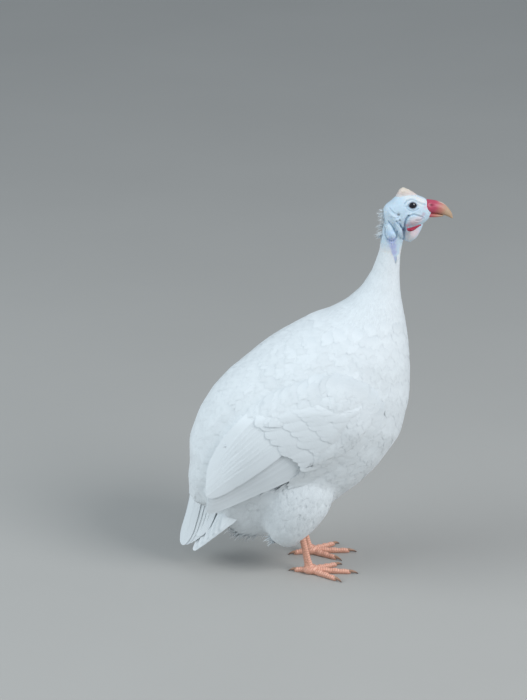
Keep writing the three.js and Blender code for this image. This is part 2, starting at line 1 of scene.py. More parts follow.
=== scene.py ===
"""A white helmeted guinea fowl, life size, standing in the pose of a museum mount.

It is put together as the bird is grown: the skin first, then the small feathers that cover it, the folded
wings and the tail, and last the bare head with its casque, bill, eyes and wattles, and the scaly feet.
Sizes are in metres. The bird faces +X, its left side is to +Y and it stands on Z = 0.
"""
import math
import random
from contextlib import contextmanager

import bmesh
import bpy
import numpy as np
from mathutils import Matrix, Vector, noise
from mathutils.bvhtree import BVHTree


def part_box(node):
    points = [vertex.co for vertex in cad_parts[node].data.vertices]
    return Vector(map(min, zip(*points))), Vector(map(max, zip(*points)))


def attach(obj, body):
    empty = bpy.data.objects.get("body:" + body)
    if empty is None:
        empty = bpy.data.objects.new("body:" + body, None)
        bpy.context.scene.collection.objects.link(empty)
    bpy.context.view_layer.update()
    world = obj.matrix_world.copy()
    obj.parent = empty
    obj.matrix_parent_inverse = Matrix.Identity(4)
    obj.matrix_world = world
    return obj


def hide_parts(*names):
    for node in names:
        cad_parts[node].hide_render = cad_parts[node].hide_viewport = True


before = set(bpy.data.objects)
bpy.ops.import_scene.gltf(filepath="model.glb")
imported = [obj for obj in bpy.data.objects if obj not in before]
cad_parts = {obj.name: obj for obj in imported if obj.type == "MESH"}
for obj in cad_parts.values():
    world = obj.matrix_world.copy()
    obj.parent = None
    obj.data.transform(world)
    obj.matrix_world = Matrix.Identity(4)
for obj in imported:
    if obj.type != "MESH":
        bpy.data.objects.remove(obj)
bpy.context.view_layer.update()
scene = bpy.context.scene


class Nodes:
    """Short ways to add nodes to a tree. A value that is another node's output is linked."""

    def __init__(self, tree):
        self.tree = tree

    def fill(self, socket, value):
        if isinstance(value, bpy.types.NodeSocket):
            self.tree.links.new(value, socket)
        else:
            socket.default_value = value

    def add(self, kind, *terms, **settings):
        """A node with its first sockets filled by the terms, and properties or sockets set by name."""
        node = self.tree.nodes.new(kind)
        for name, value in settings.items():
            socket = name.replace("_", " ")
            if socket in node.inputs:
                self.fill(node.inputs[socket], value)
            else:
                setattr(node, name, value)
        for socket, term in zip(node.inputs, terms):
            self.fill(socket, term)
        return node

    def maths(self, operation, *terms):
        return self.add("ShaderNodeMath", *terms, operation=operation).outputs[0]

    def vectors(self, operation, *terms, **settings):
        return self.add("ShaderNodeVectorMath", *terms, operation=operation, **settings).outputs[0]

    def combined(self, **parts):
        return self.add("ShaderNodeCombineXYZ", **parts).outputs[0]

    def ranged(self, value, **ends):
        return self.add("ShaderNodeMapRange", Value=value, **ends).outputs["Result"]

    def blend(self, mode, share, first, second):
        node = self.add("ShaderNodeMix", data_type="RGBA", blend_type=mode)
        for socket, value in zip((0, 6, 7), (share, first, second)):
            self.fill(node.inputs[socket], value)
        return node.outputs[2]

    def here(self):
        return self.add("ShaderNodeTexCoord").outputs["Object"]


def painted(name, colour, roughness, **settings):
    """A material with its main shader and tools for its nodes, which each finish then builds on."""
    material = bpy.data.materials.new(name)
    material.use_nodes = True
    shader = material.node_tree.nodes["Principled BSDF"].inputs
    shader["Base Color"].default_value = (*colour, 1)
    shader["Roughness"].default_value = roughness
    for socket, value in settings.items():
        shader[socket.replace("_", " ")].default_value = value
    material.diffuse_color = (*colour, 1)
    return material, shader, Nodes(material.node_tree)


def mesh_from(name, points, faces):
    """A smooth mesh with its place in its points."""
    mesh = bpy.data.meshes.new(name)
    mesh.from_pydata([tuple(p) for p in points], [], faces)
    mesh.shade_smooth()
    return mesh


def linked(name, data):
    """An object at the origin, in the scene."""
    made = bpy.data.objects.new(name, data)
    scene.collection.objects.link(made)
    return made


def tied(piece, slot, *replaced):
    """Ties a piece of the bird to its one body, in place of the solid parts that it replaces."""
    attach(piece, "root")
    if replaced:
        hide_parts(*replaced)


SIDES = ((1, "right"), (-1, "left"))

# Camera
# It stands some three metres off on the bird's right side and looks down at it by 20 degrees. The long side
# of the picture is 700 pixels and covers about 0.77 m at the bird.
CAMERA_DISTANCE = 3.2
CAMERA_DIP = math.radians(20)
CAMERA_AIM = Vector((-0.0544, 0.0113, 0.2510))
PICTURE_LONG = 700
PIXELS_PER_SLOPE = 2909
SENSOR = 36

lens = bpy.data.cameras.new("camera")
lens.sensor_width = SENSOR
lens.lens = PIXELS_PER_SLOPE / PICTURE_LONG * SENSOR
camera = linked("camera", lens)
looking = Vector((0, math.cos(CAMERA_DIP), -math.sin(CAMERA_DIP)))
camera.location = CAMERA_AIM - CAMERA_DISTANCE * looking
camera.rotation_euler = looking.to_track_quat("-Z", "Y").to_euler()
scene.camera = camera

# Floor
# A plain pale studio floor, painted matt, a shade darker than the bird so that its outline reads.
FLOOR_HALF = 14
FLOOR_COLOUR = (0.44, 0.43, 0.41)


def floor_paint():
    material, shader, nodes = painted("floor_paint", FLOOR_COLOUR, 0.8)
    mottle = nodes.add("ShaderNodeTexNoise", Vector=nodes.here(), Scale=3.0, Detail=4.0).outputs["Fac"]
    shades = nodes.ranged(mottle, To_Min=0.96, To_Max=1.04)
    nodes.fill(shader["Base Color"], nodes.blend("MULTIPLY", 1.0, (*FLOOR_COLOUR, 1), shades))
    return material


corners = [(x * FLOOR_HALF, y * FLOOR_HALF, 0) for x, y in ((-1, -1), (1, -1), (1, 1), (-1, 1))]
floor = linked("floor", mesh_from("floor", corners, [(0, 1, 2, 3)]))
floor.data.materials.append(floor_paint())

# Light
# A bright even sky as through a large studio window, one wide soft lamp high on the camera's side, and a
# weaker one behind that draws the line of the back.
SKY_COLOUR = (0.80, 0.905, 1.0)
SKY_STRENGTH = 0.46
LAMP_AIM = Vector((0, 0, 0.22))
LAMPS = (
    # name, place, size, watts, colour
    ("key", (1.8, -1.4, 1.9), 1.6, 50, (0.97, 0.985, 1.0)),
    ("back", (-1.9, -0.5, 1.2), 1.8, 26, (0.88, 0.96, 1.0)),
)

sky = bpy.data.worlds.new("studio")
sky.use_nodes = True
sky.node_tree.nodes["Background"].inputs["Color"].default_value = (*SKY_COLOUR, 1)
sky.node_tree.nodes["Background"].inputs["Strength"].default_value = SKY_STRENGTH
scene.world = sky
scene.view_settings.view_transform = "Standard"
for name, place, size, watts, colour in LAMPS:
    lamp = bpy.data.lights.new(name, "AREA")
    lamp.shape, lamp.size = "DISK", size
    lamp.energy, lamp.color = watts, colour
    stand = linked(name, lamp)
    stand.location = place
    stand.rotation_euler = (LAMP_AIM - Vector(place)).to_track_quat("-Z", "Y").to_euler()

# Skin
# The bird's own skin: one soft closed form from the thighs to the head, grown from the solid parts of the
# body. Under the feathers it lies deeper by the thickness of the coat, and on the face it lies bare.
FLESH = ("torso", "neck", "thigh_right", "thigh_left", "wing_right", "wing_left")
FLESH_GRAIN = 0.0024
FLESH_PASSES = 24
TAIL_ROOT_END = 0.080
MM = 0.001
SPINE = (  # middle of the body from the throat back to the tail, x and z
    (0.0873, 0.400), (0.0833, 0.371), (0.0783, 0.332), (0.0703, 0.294), (0.0543, 0.257), (0.0263, 0.215),
    (-0.0117, 0.179), (-0.0497, 0.147), (-0.0857, 0.117), (-0.1137, 0.089), (-0.1287, 0.074), (-0.140, 0.050),
)
SPINE_RUN = np.concatenate([[0], np.cumsum(np.hypot(*np.diff(SPINE, axis=0).T))])
TAIL_PINCH = 0.28
TAIL_SIDES = (0.092, 0.106)
TAIL_TOP = 0.122
THIGH_EDGE = (0.002, 0.014)
WING_EDGE = (0.001, 0.005)
THIGH_LIE = (-0.45, 0, -0.9)
LIE_DROP = 0.15
COAT_DEPTHS = ((0.300, 0.0042), (0.330, 0.0030), (0.355, 0.0020), (0.378, 0.0012), (0.390, 0.0004))


def box_middle(name):
    low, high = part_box(name)
    return (Vector(low) + Vector(high)) / 2


@contextmanager
def worked(mesh):
    """Opens a mesh for work on its faces, and writes it back."""
    work = bmesh.new()
    work.from_mesh(mesh)
    yield work
    work.to_mesh(mesh)
    work.free()


def node_mesh(*names):
    """The named solid parts as one welded mesh."""
    mesh = bpy.data.meshes.new("flesh")
    with worked(mesh) as welded:
        for name in names:
            welded.from_mesh(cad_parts[name].data)
        bmesh.ops.remove_doubles(welded, verts=welded.verts, dist=1e-6)
    return mesh


def evaluated(made, name):
    """The object's mesh with its modifiers worked in, as a new plain mesh."""
    mesh = bpy.data.meshes.new_from_object(made.evaluated_get(bpy.context.evaluated_depsgraph_get()))
    mesh.name = name
    return mesh


def drop_scraps(mesh):
    """Keeps only the largest closed surface of the mesh."""
    with worked(mesh) as work:
        left = set(work.verts)
        islands = []
        while left:
            island, front = set(), [left.pop()]
            while front:
                vert = front.pop()
                island.add(vert)
                others = {edge.other_vert(vert) for edge in vert.link_edges} & left
                left -= others
                front += others
            islands.append(island)
        largest = max(islands, key=len)
        bmesh.ops.delete(work, geom=[vert for vert in work.verts if vert not in largest])


def fused(mesh, grain, passes, name):
    """The mesh as one even closed surface of small squares, smoothed."""
    made = linked(name, mesh)
    fuse = made.modifiers.new("fuse", "REMESH")
    fuse.mode, fuse.voxel_size = "VOXEL", grain
    soften = made.modifiers.new("soften", "SMOOTH")
    soften.factor, soften.iterations = 0.5, passes
    result = evaluated(made, name)
    bpy.data.objects.remove(made)
    bpy.data.meshes.remove(mesh)
    drop_scraps(result)
    return result


def points_of(mesh):
    points = np.empty(3 * len(mesh.vertices))
    mesh.vertices.foreach_get("co", points)
    return points.reshape(-1, 3)


def normals_of(mesh):
    normals = np.empty(3 * len(mesh.vertices))
    mesh.vertex_normals.foreach_get("vector", normals)
    return normals.reshape(-1, 3)


def keep(mesh, name, kind, values, domain="POINT"):
    """Stores a value for each point or corner of the mesh under that name."""
    if name in mesh.attributes:
        mesh.attributes.remove(mesh.attributes[name])
    field = {"FLOAT": "value", "FLOAT_COLOR": "color"}.get(kind, "vector")
    mesh.attributes.new(name, kind, domain).data.foreach_set(field, np.asarray(values, float).ravel())


def placed(mesh, points):
    """Moves the points of a mesh to places in mm."""
    mesh.vertices.foreach_set("co", (points * MM).ravel())
    mesh.update()


def coloured(mesh, colours, material):
    """Gives a mesh its material and a colour at each point."""
    keep(mesh, "tint", "FLOAT_COLOR", np.c_[colours, np.ones(len(colours))])
    mesh.materials.clear()
    mesh.materials.append(material)
    mesh.shade_smooth()


def towards(rows, others, share):
    """Points or colours moved towards others, by a share for each."""
    share = np.asarray(share)[:, None]
    return np.asarray(rows) * (1 - share) + np.asarray(others) * share


def bell(away, reach):
    """A smooth bump that is 1 in its middle and fades over its reach."""
    return np.exp(-((away / reach) ** 2))


def smoothstep(values, low, high):
    share = np.clip((np.asarray(values, float) - low) / (high - low), 0, 1)
    return share * share * (3 - 2 * share)


def tree_of(mesh):
    """A search tree for the nearest point on a mesh."""
    return BVHTree.FromPolygons([v.co for v in mesh.vertices], [p.vertices for p in mesh.polygons])


def distance_to(points, *names):
    """How far each point lies from the named solid parts."""
    mesh = node_mesh(*names)
    tree = tree_of(mesh)
    bpy.data.meshes.remove(mesh)
    return np.array([tree.find_nearest(Vector(p))[3] for p in points])


def along_line(flat, line):
    """How far along a bent line the spot nearest to each point of a plane lies, and how far off the line."""
    line = np.array(line, float)
    steps = np.diff(line, axis=0)
    lengths = np.hypot(*steps.T)
    share = np.einsum("pki,ki->pk", flat[:, None] - line[None, :-1], steps) / lengths**2
    share = np.clip(share, 0, 1)
    away = np.linalg.norm(line[None, :-1] + share[..., None] * steps[None] - flat[:, None], axis=2)
    nearest = away.argmin(axis=1)
    row = np.arange(len(flat))
    starts = np.concatenate([[0], np.cumsum(lengths)])
    return starts[nearest] + share[row, nearest] * lengths[nearest], away[row, nearest]


def along_spine(points):
    """How far back along the spine each point lies, and the way that the spine runs there."""
    run, _ = along_line(points[:, [0, 2]], SPINE)
    steps = np.diff(SPINE, axis=0)
    middles = (SPINE_RUN[:-1] + SPINE_RUN[1:]) / 2
    ways = [np.interp(run, middles, steps[:, k] / np.diff(SPINE_RUN)) for k in (0, 1)]
    return run, np.stack([ways[0], np.zeros(len(points)), ways[1]], axis=1)


def unit(vectors):
    return vectors / np.maximum(np.linalg.norm(vectors, axis=1, keepdims=True), 1e-9)


def flesh_mesh():
    """The solid parts of the body with the root of the tail, which ends under the long feathers."""
    mesh = node_mesh("tail")
    with worked(mesh) as work:
        everything = [*work.verts, *work.edges, *work.faces]
        root_end = {"plane_co": (0, 0, TAIL_ROOT_END), "plane_no": (0, 0, 1)}
        bmesh.ops.bisect_plane(work, geom=everything, clear_inner=True, **root_end)
        bmesh.ops.holes_fill(work, edges=[edge for edge in work.edges if edge.is_boundary], sides=0)
        work.from_mesh(node_mesh(*FLESH))
    return mesh


envelope = fused(flesh_mesh(), FLESH_GRAIN, FLESH_PASSES, "envelope")
outer, outward = points_of(envelope), normals_of(envelope)
pinch = smoothstep(-outer[:, 0], *TAIL_SIDES) * (1 - smoothstep(outer[:, 2], TAIL_ROOT_END, TAIL_TOP))
outer[:, 1] *= 1 - TAIL_PINCH * pinch
run, way = along_spine(outer)
on_thigh = 1 - smoothstep(distance_to(outer, "thigh_right", "thigh_left"), *THIGH_EDGE)
on_wing = 1 - smoothstep(distance_to(outer, "wing_right", "wing_left"), *WING_EDGE)
depth = np.interp(outer[:, 2], *zip(*COAT_DEPTHS))
skin_points = outer - outward * depth[:, None]
lie = towards(way, THIGH_LIE, on_thigh)
lie[:, 2] -= LIE_DROP
lie = unit(lie - outward * np.einsum("pi,pi->p", lie, outward)[:, None])
behind = run / run.max()
spine_x, spine_z = np.array(SPINE).T
rise = (outer[:, 0] - np.interp(run, SPINE_RUN, spine_x)) * -way[:, 2]
rise -= (outer[:, 2] - np.interp(run, SPINE_RUN, spine_z)) * way[:, 0]
round_body = np.arctan2(outer[:, 1], -rise) / (2 * math.pi) + 0.5

placed(envelope, skin_points / MM)
keep(envelope, "lie", "FLOAT_VECTOR", lie)
keep(envelope, "outward", "FLOAT_VECTOR", outward)
keep(envelope, "unwrap", "FLOAT_VECTOR", np.stack([round_body, behind, 0 * behind], axis=1))

# Small feathers
# Contour feathers cover the neck, breast, back, belly and thighs. Each is a thin curved vane of keratin whose
# root sits in the skin and whose tip lies on the feathers behind it. They grow over the skin by regions.
PLUMAGE_COLOUR = (0.79, 0.835, 0.86)
DOWN_COLOUR = (0.70, 0.75, 0.78)
EDGE_ANGLE = math.radians(70)
ROOT_DEPTH = 0.0004
PATCH_SIZE = 0.003
VANE_SHAPES = {
    # along the feather, half its width there, how high it lies above the skin
    "body": ((0, .18, .25), (.12, .5, .76), (.3, .8, .87), (.5, .97, .93), (.7, 1, .97), (.88, .84, .99),
             (1, .46, 1)),
    "neck": ((0, .3, .3), (.3, .9, .86), (.7, .85, .95), (1, .3, 1)),
    "fluff": ((0, .25, .3), (.25, .8, .84), (.55, 1, .93), (.84, .75, .98), (1, .3, 1)),
}


def vane_faces(rows, columns, first=0):
    """Faces over a grid of points, with flat ones underneath that close it."""
    faces = []
    for a in range(first, first + (rows - 1) * columns, columns):
        b = a + columns
        faces += [(a + k, b + k, b + k + 1, a + k + 1) for k in range(columns - 1)]
        faces.append((a, b - 1, b + columns - 1, b))
    faces.append(tuple(range(first, first + columns)))
    faces.append(tuple(range(b + columns - 1, b - 1, -1)))
    return faces


def feather_vane(name, shape, columns, notch, bulge, camber, seed):
    """A feather one unit long, lying flat: a grid of rows that bow forward, closed underneath."""
    dice = random.Random(seed)
    points, heights, spots = [], [], []
    for along, half, height in shape:
        for k in range(columns + 1):
            across = 2 * k / columns - 1
            ragged = notch * dice.uniform(-1, 1) if abs(across) == 1 or along == 1 else 0
            reach = along - bulge * abs(across) ** 1.6 * (0.35 + 0.65 * along) + ragged
            points.append((reach, across * half / 2 * (1 + ragged), 0))
            heights.append(height - camber * across * across * (0.4 + along))
            spots.append((0.5 + across / 2, along))
    mesh = bpy.data.meshes.new(name)
    mesh.from_pydata(points, [], [face[::-1] for face in vane_faces(len(shape), columns + 1)])
    keep(mesh, "height", "FLOAT", heights)
    mesh.uv_layers.new(name="vane")
    for corner, loop in zip(mesh.uv_layers["vane"].data, mesh.loops):
        corner.uv = spots[loop.vertex_index]
    mesh.set_sharp_from_angle(angle=EDGE_ANGLE)
    return bpy.data.objects.new(name, mesh)


def feather_paint(name, colour, root_colour, ridge=0.35, pitch=26.0):
    """White keratin: duller at the downy root, finely barbed, with no two feathers quite alike."""
    material, shader, nodes = painted(
        name, colour, 0.62, Sheen_Weight=0.25, Sheen_Roughness=0.5, Subsurface_Weight=0.0)
    vane = nodes.add("ShaderNodeUVMap", uv_map="vane").outputs["UV"]
    spot = nodes.add("ShaderNodeSeparateXYZ", vane).outputs
    side = nodes.maths("ABSOLUTE", nodes.maths("SUBTRACT", spot["X"], 0.5))
    slant = nodes.combined(X=nodes.maths("MULTIPLY_ADD", side, -0.45, spot["Y"]))
    each = nodes.add("ShaderNodeAttribute", attribute_name="shade").outputs["Fac"]
    turn = nodes.maths("MULTIPLY", each, 40)
    streaks = nodes.add("ShaderNodeTexNoise", noise_dimensions="4D", Vector=slant, W=turn, Scale=pitch,
                        Detail=3.0, Roughness=0.6).outputs["Fac"]
    fine = nodes.add("ShaderNodeTexNoise", Vector=nodes.here(), Scale=900.0, Detail=2.0).outputs["Fac"]
    relief = nodes.maths("MULTIPLY_ADD", fine, 0.35, streaks)
    bump = nodes.add("ShaderNodeBump", Strength=ridge, Distance=0.0006, Height=relief)
    nodes.fill(shader["Normal"], bump.outputs["Normal"])
    towards_tip = nodes.ranged(spot["Y"], From_Min=0.15, From_Max=0.7)
    base = nodes.blend("MIX", towards_tip, (*root_colour, 1), (*colour, 1))
    shade = nodes.ranged(nodes.maths("ADD", streaks, each), From_Max=1.6, To_Min=0.93, To_Max=1.03)
    nodes.fill(shader["Base Color"], nodes.blend("MULTIPLY", 1.0, base, shade))
    return material


def coat_tree():
    """Grows feathers over the skin: points spread evenly in a region, a vane on each, bent to the skin."""
    tree = bpy.data.node_groups.new("coat", "GeometryNodeTree")
    inputs = {
        "Skin": "Geometry", "Region": "String", "Vanes": "Collection", "Spacing": "Float",
        "Length": "Float", "Width": "Float", "Loft": "Float", "Ruffle": "Float", "Stray": "Float",
        "Seed": "Int", "Finish": "Material",
    }
    for label, kind in inputs.items():
        tree.interface.new_socket(label, in_out="INPUT", socket_type=f"NodeSocket{kind}")
    tree.interface.new_socket("Coat", in_out="OUTPUT", socket_type="NodeSocketGeometry")
    nodes = Nodes(tree)
    add, maths, vectors = nodes.add, nodes.maths, nodes.vectors
    given = add("NodeGroupInput").outputs

    def stored(name, kind="FLOAT"):
        return add("GeometryNodeInputNamedAttribute", data_type=kind, Name=name).outputs["Attribute"]

    def chance(low, high, shift, kind="FLOAT"):
        first, out = {"FLOAT": (2, 1), "INT": (4, 2)}[kind]
        node = add("FunctionNodeRandomValue", data_type=kind, Seed=maths("ADD", given["Seed"], shift))
        nodes.fill(node.inputs[first], low)
        nodes.fill(node.inputs[first + 1], high)
        return node.outputs[out]

    def store(geometry, name, value, kind, domain):
        return add("GeometryNodeStoreNamedAttribute", data_type=kind, domain=domain, Geometry=geometry,
                   Name=name, Value=value).outputs["Geometry"]

    def nearest(field):
        return add("GeometryNodeSampleNearestSurface", data_type="FLOAT_VECTOR", Mesh=given["Skin"],
                   Value=field).outputs["Value"]

    # Roots: spread over the region, turned out from the skin and laid along it, a little astray
    close = maths("DIVIDE", 3.0, maths("MULTIPLY", given["Spacing"], given["Spacing"]))
    spread = add("GeometryNodeDistributePointsOnFaces", distribute_method="POISSON", Mesh=given["Skin"],
                 Distance_Min=given["Spacing"], Density_Max=close, Density_Factor=stored(given["Region"]),
                 Seed=given["Seed"])
    axes = add("FunctionNodeAxesToRotation", primary_axis="Z", secondary_axis="X",
               Primary_Axis=stored("outward", "FLOAT_VECTOR"), Secondary_Axis=stored("lie", "FLOAT_VECTOR"))
    astray = nodes.combined(Z=maths("MULTIPLY", chance(-1.0, 1.0, 1), given["Stray"]))
    turn = add("FunctionNodeRotateRotation", axes.outputs[0], astray, rotation_space="LOCAL")

    # Vanes: one of the three kinds on each root, each of its own size, shade and ruffle
    vanes = add("GeometryNodeCollectionInfo", Collection=given["Vanes"], Separate_Children=True,
                Reset_Children=True)
    length = maths("MULTIPLY", given["Length"], chance(0.85, 1.15, 2))
    width = maths("MULTIPLY", given["Width"], chance(0.85, 1.15, 3))
    grown = vectors("SCALE", nodes.combined(X=length, Y=width, Z=1), Scale=stored("growth"))
    plant = add("GeometryNodeInstanceOnPoints", Points=spread.outputs["Points"], Instance=vanes.outputs[0],
                Instance_Index=chance(0, 2, 4, "INT"), Pick_Instance=True, Rotation=turn.outputs[0],
                Scale=grown)
    shaded = store(plant.outputs[0], "shade", chance(0.0, 1.0, 5), "FLOAT", "INSTANCE")
    raised = maths("MULTIPLY", chance(-1.0, 1.0, 6), given["Ruffle"])
    real = add("GeometryNodeRealizeInstances", store(shaded, "ruffle", raised, "FLOAT", "INSTANCE"))

    # Lie: each point settles over the nearest skin at its height in the coat
    height = stored("height")
    lift = maths("MULTIPLY", maths("MULTIPLY", height, stored("depth")), given["Loft"])
    lift = maths("ADD", maths("ADD", lift, maths("MULTIPLY", stored("ruffle"), height)), -ROOT_DEPTH)
    off = vectors("SCALE", nearest(stored("outward", "FLOAT_VECTOR")), Scale=lift)
    under = nearest(add("GeometryNodeInputPosition").outputs[0])
    settle = add("GeometryNodeSetPosition", Geometry=real.outputs[0], Position=vectors("ADD", under, off))

    # Unwrap: each feather's own small patch at its root's place
    spot = vectors("SUBTRACT", stored("vane", "FLOAT_VECTOR"), (0.5, 0.5, 0))
    home = vectors("ADD", stored("unwrap", "FLOAT_VECTOR"), vectors("SCALE", spot, Scale=PATCH_SIZE))
    baked = store(settle.outputs[0], "OFBake", home, "FLOAT2", "CORNER")
    finish = add("GeometryNodeSetMaterial", Geometry=baked, Material=given["Finish"])
    add("NodeGroupOutput", add("GeometryNodeSetShadeSmooth", finish.outputs[0]).outputs[0])
    return tree


def grow(name, region, vanes, material, **sizes):
    """Runs the coat's tree over the skin and leaves one plain mesh of that region's feathers."""
    carrier = linked(name, envelope)
    modifier = carrier.modifiers.new("coat", "NODES")
    modifier.node_group = coat
    sockets = {s.name: s.identifier for s in coat.interface.items_tree if s.in_out == "INPUT"}
    values = {"Region": region, "Vanes": vanes, "Finish": material, **sizes}
    for label, value in values.items():
        modifier[sockets[label]] = value
    mesh = evaluated(carrier, name)
    bpy.data.objects.remove(carrier)
    tied(linked(name, mesh), "plumage")


def vane_set(kind, columns, notch, bulge, camber):
    """Three feathers of one kind that differ a little at their edges."""
    kept = bpy.data.collections.new(kind)
    for k in range(3):
        name = f"{kind}_vane_{k}"
        kept.objects.link(feather_vane(name, VANE_SHAPES[kind], columns, notch, bulge, camber, k))
    return kept


coat = coat_tree()
body_vanes = vane_set("body", 4, 0.02, 0.16, 0.05)
neck_vanes = vane_set("neck", 2, 0.05, 0.2, 0.1)
fluff_vanes = vane_set("fluff", 2, 0.09, 0.1, 0.08)
plumage = feather_paint("plumage", PLUMAGE_COLOUR, DOWN_COLOUR)
fluff = feather_paint("fluff", PLUMAGE_COLOUR, PLUMAGE_COLOUR, 0.6, 12.0)

# How thickly each region's feathers stand, from 0 to 1, and how long they are there against their full size.
# A narrow patch on each side of the upper neck stays bare.
NECK_FOOT = (0.272, 0.30)
NECK_END = (0.379, 0.3845)
BACK_END = (0.285, 0.315)
OVER_WING_DEPTH = 0.0018
GROWTH_HEIGHTS = (0.0, 0.20, 0.26, 0.30, 0.33, 0.36, 0.385)
GROWTH = (1, 1, 0.9, 0.8, 0.92, 0.8, 0.62)
PATCH_HEIGHTS = (0.359, 0.375, 0.386)
PATCH_MIDDLES = (0.0899, 0.0877, 0.0867)


def tucked(place_x, place_z):
    """How far the body's feathers hide the wing at a place in mm: along its front edge and along its top."""
    front = (place_x - 8) * 0.794 - (place_z - 147) * 0.607
    top = place_z - np.minimum(205 + 0.25 * (place_x + 79), 226 - 0.1 * place_x)
    return np.maximum(smoothstep(front, -16, 8), smoothstep(top, -14, 10))


x, y, z = outer.T
low_body = (1 - smoothstep(z - 0.35 * x, 0.095, 0.15)) * smoothstep(x, -0.112, -0.088)
neck_part = smoothstep(z, *NECK_FOOT)
over_wing = smoothstep(tucked(x / MM, z / MM), 0, 0.5)
wing_bare = on_wing * (1 - over_wing)
keep(envelope, "depth", "FLOAT", depth + OVER_WING_DEPTH * on_wing * over_wing)
belly = np.maximum(low_body, on_thigh) * (1 - on_wing)
patch_half = np.interp(z, (0.357, 0.386), (0.0008, 0.0062))
patch_middle = np.interp(z, PATCH_HEIGHTS, PATCH_MIDDLES)
on_patch = (1 - smoothstep(np.abs(x - patch_middle) / patch_half, 0.7, 1.2)) * (z > 0.356)
on_patch *= smoothstep(np.abs(outward[:, 1]), 0.3, 0.6)
under_tail = (x < -0.092) * (z < TAIL_ROOT_END + 0.02) * (outward[:, 2] < -0.3)
regions = {
    "neck_thick": neck_part * (1 - smoothstep(z, *NECK_END)) * (1 - on_patch),
    "back_thick": (1 - belly) * (1 - smoothstep(z, *BACK_END)) * (1 - wing_bare) * (1 - under_tail),
    "belly_thick": belly * (1 - neck_part),
}
for region, thick in regions.items():
    keep(envelope, region, "FLOAT", thick)
keep(envelope, "growth", "FLOAT", np.interp(z, GROWTH_HEIGHTS, GROWTH))
grow("neck_feathers", "neck_thick", neck_vanes, plumage,
     Spacing=0.0017, Length=0.0125, Width=0.0056, Loft=0.9, Ruffle=0.00012, Stray=0.1, Seed=3)
grow("back_feathers", "back_thick", body_vanes, plumage,
     Spacing=0.0042, Length=0.027, Width=0.0185, Loft=0.95, Ruffle=0.00025, Stray=0.08, Seed=5)
grow("belly_feathers", "belly_thick", fluff_vanes, fluff,
     Spacing=0.0022, Length=0.0165, Width=0.0064, Loft=0.95, Ruffle=0.0004, Stray=0.2, Seed=8)

# Wings
# Each folded wing is made of long stiff flight feathers that slide under one another like a shut fan, with
# rows of coverts laid over their roots like roof tiles. They follow the curve of the wing over the flank.
MIRROR = Vector((1, -1, 1))
LEVEL_ACROSS = (0, 1, 0)
SOLID_SHIFT = box_middle("eye_right").x - 0.1028
WING_CURVE = (  # from the tail forward: middle x and z, reach above, reach below, half the width
    (-150, 55, 50, 60, 34), (-131, 74, 60, 75, 46), (-116, 89, 66, 90, 53), (-88, 117, 76, 110, 60.5),
    (-52, 147, 93, 104, 73), (-14, 179, 95, 104, 80), (24, 215, 91.5, 95, 80.5), (52, 257, 75, 64, 66.5),
    (68, 294, 48, 36, 42.5),
)
CURVE_GRAIN = (90, 96)


def smooth_rows(rows, count):
    """So many rows evenly along a smooth curve through the given ones."""
    rows = np.array(rows, float)
    ends = np.vstack([2 * rows[0] - rows[1], rows, 2 * rows[-1] - rows[-2]])
    spots = np.linspace(0, len(rows) - 1, count)
    k = np.minimum(spots.astype(int), len(rows) - 2)
    f = (spots - k)[:, None]
    a, b, c, d = (ends[k + n] for n in range(4))
    return b + 0.5 * f * (c - a + f * (2 * a - 5 * b + 4 * c - d + f * (3 * (b - c) + d - a)))


def tube_rings(rows, rings, sides, level):
    """Rings round a smooth path. A row is x, y, z, then the reach above, below and to each side, in mm."""
    even = smooth_rows(rows, rings)
    middles = even[:, :3] * MM + np.array([SOLID_SHIFT, 0, 0])
    ahead = unit(np.gradient(middles, axis=0))
    level = np.array(level, float)
    side = unit(level - ahead * (ahead @ level)[:, None])
    up = np.cross(ahead, side)
    turn = np.linspace(0, 2 * math.pi, sides, endpoint=False)
    rise = np.where(np.cos(turn) > 0, even[:, 3:4], even[:, 4:5]) * MM * np.cos(turn)
    reach = even[:, 5:6] * MM * np.sin(turn)
    return middles[:, None] + rise[..., None] * up[:, None] + reach[..., None] * side[:, None]


def tube_faces(rings, sides, first=0):
    """Faces of a closed tube whose ends are shut by one face each."""
    faces = []
    for r in range(rings - 1):
        a, b = first + r * sides, first + (r + 1) * sides
        faces += [(a + k, a + (k + 1) % sides, b + (k + 1) % sides, b + k) for k in range(sides)]
    last = first + (rings - 1) * sides
    faces.append(tuple(range(first + sides - 1, first - 1, -1)))
    faces.append(tuple(range(last, last + sides)))
    return faces


def outward_faces(mesh):
    """Turns the mesh's faces outwards."""
    with worked(mesh) as work:
        bmesh.ops.recalc_face_normals(work, faces=work.faces)


curve_rings = tube_rings([(x, 0, *rest) for x, *rest in WING_CURVE], *CURVE_GRAIN, LEVEL_ACROSS)
wing_curve = BVHTree.FromPolygons(curve_rings.reshape(-1, 3).tolist(), tube_faces(*CURVE_GRAIN))


def on_wing_curve(x, z):
    """The place and outward direction of the right flank at that length and height."""
    place, normal, _, _ = wing_curve.ray_cast(Vector((x, -0.3, z)), Vector((0, 1, 0)))
    if place is None:
        place, normal, _, _ = wing_curve.find_nearest(Vector((x, -0.03, z)))
    return place, -normal if normal.y > 0 else normal


